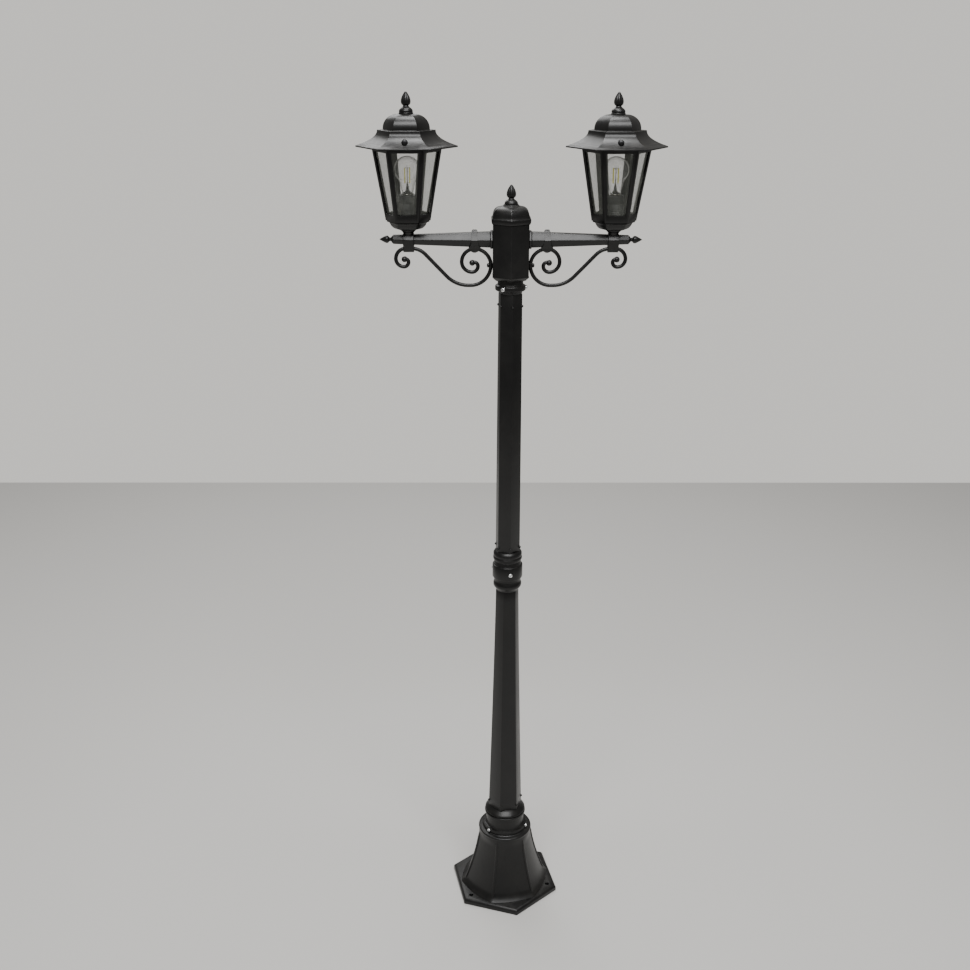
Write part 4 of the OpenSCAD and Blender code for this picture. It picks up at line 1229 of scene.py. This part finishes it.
@dataclass
class Lantern:
    """One six-sided lantern: its bowl, glazed frame, lamp holder and lift-off roof."""

    side: Side
    reach: float = 237
    seat_z: float = 1849
    frame_z: float = 1868.6
    eave_z: float = 2031
    foot_r: float = 51.8
    eave_r: float = 115.6
    ledge_r: float = 66
    dome_r: float = 53
    crown_r: float = 20
    roof_z: float = 2102
    wall: float = 3.2
    screw_y: float = 76
    screw_z: float = 2046
    screw_slot: tuple[float, float, float] = (14, 1.2, 2.2)
    holder_z: float = 1865
    frame_r: float = 79.1
    glazing: float = 5.5

    def put(self, bench: Bench, bm: bmesh.types.BMesh, name: str, body: Body, slot: Slot, *nodes: str,
            smooth: float = 32) -> Object:
        """Moves a shape to the lantern's axis and hands it over.

        Args:
            bench: The bench.
            bm: The shape, drawn round the Z axis.
            name: The piece's name, without its side.
            body: The body that it rides on.
            slot: The material slot that dresses it.
            *nodes: The CAD nodes that it stands for, without their side.
            smooth: The sharpest fold that still shades smooth, in degrees.

        Returns:
            The piece.
        """
        nodes = [f"{self.side.word}_{node}" for node in nodes]
        bench.moved(bm, self.axis)
        return bench.hand_over(bm, f"{self.side.word}_{name}", body.on(self.side), slot, nodes, smooth)

    @property
    def axis(self) -> Matrix:
        """The move from the origin to the lantern's own axis."""
        return up(self.side.value * self.reach)

    @property
    def screw_seats(self) -> list[Matrix]:
        """Where the two roof screws sit, front and rear, heads outwards."""
        return [spun(turn, "Z") @ up(0, -self.screw_y, self.screw_z) @ FACE_FRONT for turn in (0, 180)]

    def roof_line(self) -> list[tuple[float, float]]:
        """The roof's corner line from the crown down to the eave."""
        top = self.eave_z + 40
        dome = [(self.crown_r + (self.dome_r - self.crown_r) * math.cos(math.radians(a)),
                 top + (self.roof_z - top) * math.sin(math.radians(a))) for a in range(90, -1, -6)]
        ledge = [(self.dome_r, self.eave_z + 38.4), (self.dome_r + 0.6, self.eave_z + 37.7),
                 (self.ledge_r - 1, self.eave_z + 37.5), (self.ledge_r - 0.3, self.eave_z + 37.1)]
        flare = [(self.ledge_r + (self.eave_r - self.ledge_r) * (1 - s) ** 2.2, self.eave_z + 3 + 34 * s)
                 for s in (1 - i / 22 for i in range(23))]
        return [(0, self.roof_z), *dome, *ledge, *flare, (self.eave_r, self.eave_z)]

    def roof(self, bench: Bench) -> None:
        """Makes the lift-off roof with its skirt, screw seats, screws, nuts and finial."""
        line = self.roof_line()
        inside = [(max(r - self.wall, 0), max(z - self.wall, self.eave_z)) for r, z in reversed(line[:-2])]
        shell = bench.turned([*line, (self.eave_r - self.wall, self.eave_z), *inside], 6)
        piece = self.put(bench, bench.ease(shell, 0.9, 26, 3), "roof_shell", Body.ROOF, Slot.COAT, "roof",
                         smooth=22)
        bore = [(0, 0), (6.6, 0), (6.6, 20), (0, 20)]
        bores = [bench.moved(bench.turned(bore, 40), seat) for seat in self.screw_seats]
        bench.carve(piece, bench.moved(bench.join(*bores), self.axis), 22)
        z = self.eave_z
        skirt = bench.ease(bench.turned([(72, z), (79, z), (79, z + 15.5), (72, z + 20)], 6, 0, True), 0.6)
        lug = [(2.1, 0), (6.2, 0), (7, -0.8), (7, -12.5), (2.1, -12.5)]
        lugs = [bench.moved(bench.turned(lug, 40, 0, True), seat) for seat in self.screw_seats]
        self.put(bench, bench.join(skirt, *lugs), "roof_skirt", Body.ROOF, Slot.COAT)
        self.put(bench, bench.moved(acorn(bench), up(0, 0, self.roof_z)), "roof_acorn", Body.ROOF, Slot.COAT,
                 "roof_finial")
        self.screws(bench)
        dress(Slot.NUT, f"{self.side.word}_roof_nuts")

    def screws(self, bench: Bench) -> None:
        """Makes the two slotted roof screws."""
        head = [(0, -22), (2, -22), (2, 0), (5.6, 0), (6, 0.4), (6, 1.5), (5.4, 2.3), (4, 2.9), (2, 3.2),
                (0, 3.25)]
        pair = bench.join(*(bench.moved(bench.turned(head, 40), seat) for seat in self.screw_seats))
        piece = self.put(bench, pair, "roof_screw_pair", Body.ROOF, Slot.DARK_SCREW, "roof_screws")
        slots = []
        size = Matrix.Diagonal((*(reach * MM for reach in self.screw_slot), 1))
        for seat in self.screw_seats:
            bm = bmesh.new()
            bmesh.ops.create_cube(bm, size=1, matrix=seat @ up(0, 0, 3) @ size)
            slots.append(bm)
        bench.carve(piece, bench.moved(bench.join(*slots), self.axis))

    def bowl(self, bench: Bench) -> None:
        """Makes the bowl under the glazed frame."""
        z = self.seat_z
        outer = [(28, 0), (31.4, 0.7), (34, 2), (36.8, 4.1), (39, 6.5), (40.8, 9), (42, 11.5), (43.4, 14),
                 (44.5, 15), (47, 15.8), (49.3, 16.2), (49.3, 19.6)]
        inner = [(43.8, 19.6), (40.4, 15.4), (37.8, 10), (34, 5.6), (30, 4), (6.9, 4)]
        cup = bench.ease(bench.turned([(a, z + b) for a, b in [(6.9, 0), *outer, *inner]], 6, 0, True), 0.8,
                         26)
        self.put(bench, cup, "frame_bowl", Body.POST, Slot.COAT, "bowl")

    def cage(self, bench: Bench) -> None:
        """Makes the glazed frame's bars from the CAD's own, with rounded edges."""
        name = f"{self.side.word}_frame"
        bench.post_piece(refined(name, 0.55, 5), f"{self.side.word}_glazing_bars", name)
        self.put(bench, bench.around(6, 0, self.bead), "corner_beads", Body.POST, Slot.COAT)
        dress(Slot.PANE, f"{self.side.word}_panes")

    def bead(self) -> bmesh.types.BMesh:
        """Makes the tapered bar that holds the panes' edges inside one corner of the frame.

        Returns:
            The bar, inside the corner on the X axis.
        """
        bm = bmesh.new()
        ends = ((self.frame_z + 4, self.foot_r), (self.eave_z - 3, self.frame_r))
        section = ((0, 0), (4.6, 7.9), (6.2, 5), (6.2, -5), (4.6, -7.9))
        rings = [[bm.verts.new(Vector((r - self.glazing - a, b, z)) * MM) for a, b in section] for z,
                 r in ends]
        for i, low in enumerate(rings[0]):
            bm.faces.new((low, rings[0][i - 1], rings[1][i - 1], rings[1][i]))
        for ring in rings:
            bm.faces.new(ring)
        bmesh.ops.recalc_face_normals(bm, faces=bm.faces)
        return bm

    def holder(self, bench: Bench) -> None:
        """Makes the moulded lamp holder."""
        z = self.holder_z
        groove = ((21, 8), (20.3, 8.8), (20.3, 10.4), (21, 11.2))
        ribs = [(r, z + rise + 4 * i) for i in range(5) for r, rise in groove]
        body = [(15, self.seat_z + 4), (15, z - 1), (20, z - 1), (21, z), *ribs, (21, z + 40), (20.4, z + 41),
                (20.4, z + 43), (21, z + 44), (21, z + 59), (20.6, z + 60.5), (19.4, z + 61), (15.2, z + 61),
                (13.9, z + 60), (13.25, z + 58.5), (13.25, z + 35.2)]
        shape = bench.turned([(0, self.seat_z + 4), *body, (0, z + 35.2)], 72)
        self.put(bench, shape, "holder", Body.POST, Slot.HOLDER, "lamp_holder")

    def build(self, bench: Bench) -> None:
        """Builds and dresses the lantern."""
        self.bowl(bench)
        self.cage(bench)
        self.holder(bench)
        self.roof(bench)
        Bulb(self).build(bench)


@dataclass
class Bulb:
    """The clear filament bulb and its screw cap."""

    lantern: Lantern
    shell_z: float = 1902.8
    shell_r: float = 13.2
    neck_z: float = 1928.4
    centre_z: float = 1981.9
    r: float = 30
    rods: int = 4
    rod_ring: float = 8
    wall: float = 0.9

    def glass_line(self, inside: float) -> list[tuple[float, float]]:
        """The glass's outline at a depth inside its face.

        Args:
            inside: The depth in millimetres.

        Returns:
            (radius, height) pairs from the neck up.
        """
        r, z = self.r - inside, self.neck_z
        neck = [(13 - inside, z), (13.1 - inside, z + 3), (13.6 - inside, z + 6), (14.3 - inside, z + 9.5),
                (15.2 - inside, z + 13), (16.4 - inside, z + 18), (17.7 - inside, z + 24)]
        ball = [(r * math.cos(math.radians(a)), self.centre_z + r * math.sin(math.radians(a)))
                for a in range(-46, 91, 4)]
        return [*neck, *[(max(x, 0), y) for x, y in ball if y > z + 26], (0, self.centre_z + r)]

    def glass(self, bench: Bench) -> None:
        """Makes the blown glass."""
        envelope = bench.turned([*self.glass_line(0), *reversed(self.glass_line(self.wall))], 72, 0, True)
        self.lantern.put(bench, envelope, "envelope", Body.BULB, Slot.BULB, "bulb_glass", smooth=50)

    def filaments(self, bench: Bench) -> None:
        """Makes the filament rods, the glass stem and the wires that hold them."""
        low, tall = self.neck_z + 24, 33

        def rod() -> bmesh.types.BMesh:
            """Makes one rod with rounded ends."""
            line = [(0, low), (0.7, low + 0.2), (0.95, low + 0.8), (0.95, low + tall - 0.8),
                    (0.7, low + tall - 0.2), (0, low + tall)]
            return bench.moved(bench.turned(line, 16), up(self.rod_ring))

        self.lantern.put(bench, bench.around(self.rods, 45, rod), "filament_rods", Body.BULB, Slot.PHOSPHOR,
                         "bulb_filaments")
        z = self.neck_z
        stem = [(0, z + 1), (11.6, z + 1), (11.6, z + 2.2), (8, z + 3.4), (5, z + 6), (3.7, z + 9),
                (3.2, z + 13), (2.6, z + 18), (2, low - 3), (0.9, low - 1), (0.8, low + tall + 1),
                (0, low + tall + 1.6)]
        self.lantern.put(bench, bench.turned(stem, 32), "glass_stem", Body.BULB, Slot.BULB)
        wires = [bench.around(self.rods, 45, lambda at=at: bench.moved(bench.turned([(0, 0), (0.35, 0),
                                                                                     (0.35, self.rod_ring),
                                                                                     (0, self.rod_ring)], 8),
                                                                       up(0, 0, at) @ FACE_X))
                 for at in (low + 0.1, low + tall - 0.1)]
        self.lantern.put(bench, bench.join(*wires), "support_wires", Body.BULB, Slot.CAP)

    def cap(self, bench: Bench) -> None:
        """Makes the screw shell with its rolled thread."""
        z, r = self.shell_z, self.shell_r
        thread = [(r - 0.6 + 0.6 * math.sin(math.tau * i / 8), z + 2 + 3.6 * i / 8) for i in range(49)
                  if 3.6 * i / 8 < 21]
        line = [(9.2, z), (r - 1.4, z), *thread, (r, z + 24), (r + 1.2, z + 24.5), (r + 1.3, z + 25.2),
                (r + 0.6, z + 25.6), (12.2, z + 25.6), (12.2, z + 2), (9.2, z + 2)]
        self.lantern.put(bench, bench.turned(line, 64, 0, True), "screw_shell", Body.BULB, Slot.CAP,
                         "bulb_shell", smooth=45)
        dress(Slot.CAP, f"{self.lantern.side.word}_bulb_contact")

    def build(self, bench: Bench) -> None:
        """Builds and dresses the bulb."""
        self.glass(bench)
        self.filaments(bench)
        self.cap(bench)


# ---------------------------------------------------------------- studio


@dataclass
class Studio:
    """The plain pale floor, the soft lights and the camera."""

    distance: float = 2.711
    height: float = 2.257
    pitch: float = 21.02
    roll: float = 0.16
    aim: float = 1.235
    arms_turn: float = 1.65
    lens: float = 43.02
    sensor: float = 36
    floor_size: float = 6.4
    floor_tint: Colour = (0.62, 0.61, 0.59, 1)
    target: tuple[float, float, float] = (0, 0, 1.3)
    sky: Colour = (0.86, 0.84, 0.8, 1)
    sky_seen: float = 0.9
    sky_lit: float = 0.3
    lights: tuple = ((0.1, -2.1, 4.4, 3.2, 1.3, 165), (0, 0.3, 4.7, 1.4, 1.4, 95),
                     (-1.0, 3.4, 4.2, 2.4, 2.4, 60))

    def floor(self) -> None:
        """Lays the floor."""
        bm = bmesh.new()
        bmesh.ops.create_grid(bm, x_segments=2, y_segments=2, size=self.floor_size / 2)
        mesh = bpy.data.meshes.new("floor")
        bm.to_mesh(mesh)
        bm.free()
        mesh.materials.append(Plain("studio_floor", self.floor_tint).make())
        piece = bpy.data.objects.new("floor", mesh)
        bpy.context.scene.collection.objects.link(piece)

    def light(self) -> None:
        """Hangs the soft lights and sets the sky."""
        target = Vector(self.target)
        for index, (x, y, z, wide, deep, power) in enumerate(self.lights):
            lamp = bpy.data.lights.new(f"softbox_{index}", "AREA")
            lamp.shape = "RECTANGLE"
            lamp.size = wide
            lamp.size_y = deep
            lamp.energy = power
            piece = bpy.data.objects.new(f"softbox_{index}", lamp)
            piece.location = (x, y, z)
            piece.rotation_euler = (target - piece.location).to_track_quat("-Z", "Y").to_euler()
            bpy.context.scene.collection.objects.link(piece)
        world = bpy.data.worlds.new("studio")
        world.use_nodes = True
        tree = world.node_tree
        backdrop = tree.nodes["Background"]
        backdrop.inputs["Color"].default_value = self.sky
        seen = tree.nodes.new("ShaderNodeLightPath")
        level = tree.nodes.new("ShaderNodeMapRange")
        level.inputs["To Min"].default_value = self.sky_lit
        level.inputs["To Max"].default_value = self.sky_seen
        tree.links.new(seen.outputs["Is Camera Ray"], level.inputs["Value"])
        tree.links.new(level.outputs["Result"], backdrop.inputs["Strength"])
        bpy.context.scene.world = world

    def camera(self) -> None:
        """Stands the camera in front of the post."""
        angles = (self.arms_turn, self.aim - self.arms_turn, self.pitch, self.roll)
        turn, aim, pitch, roll = map(math.radians, angles)
        ahead = Vector((-math.sin(aim) * math.cos(pitch), math.cos(aim) * math.cos(pitch), -math.sin(pitch)))
        right = Vector((math.cos(aim), math.sin(aim), 0))
        upright = right.cross(ahead)
        across = right * math.cos(roll) + upright * math.sin(roll)
        above = upright * math.cos(roll) - right * math.sin(roll)
        lens = bpy.data.cameras.new("camera")
        lens.lens = self.lens
        lens.sensor_width = self.sensor
        piece = bpy.data.objects.new("camera", lens)
        place = Matrix((across, above, -ahead)).transposed().to_4x4()
        place.translation = (-self.distance * math.sin(turn), -self.distance * math.cos(turn), self.height)
        piece.matrix_world = place
        bpy.context.scene.collection.objects.link(piece)
        bpy.context.scene.camera = piece

    def build(self) -> None:
        """Sets the whole studio."""
        self.camera()
        self.floor()
        self.light()


def main() -> None:
    """Builds the lamp post in order and reports its pieces."""
    logging.basicConfig(level=logging.INFO, format="%(name)s %(message)s")
    bench = Bench()
    Studio().build()
    for assembly in (Base(), Column(), MiddleCollar(), Head()):
        assembly.build(bench)
    for side in Side:
        Arm(side).build(bench)
        Lantern(side).build(bench)
    log.info("%d pieces made", len(bench.made))


if __name__ == "__main__":
    main()
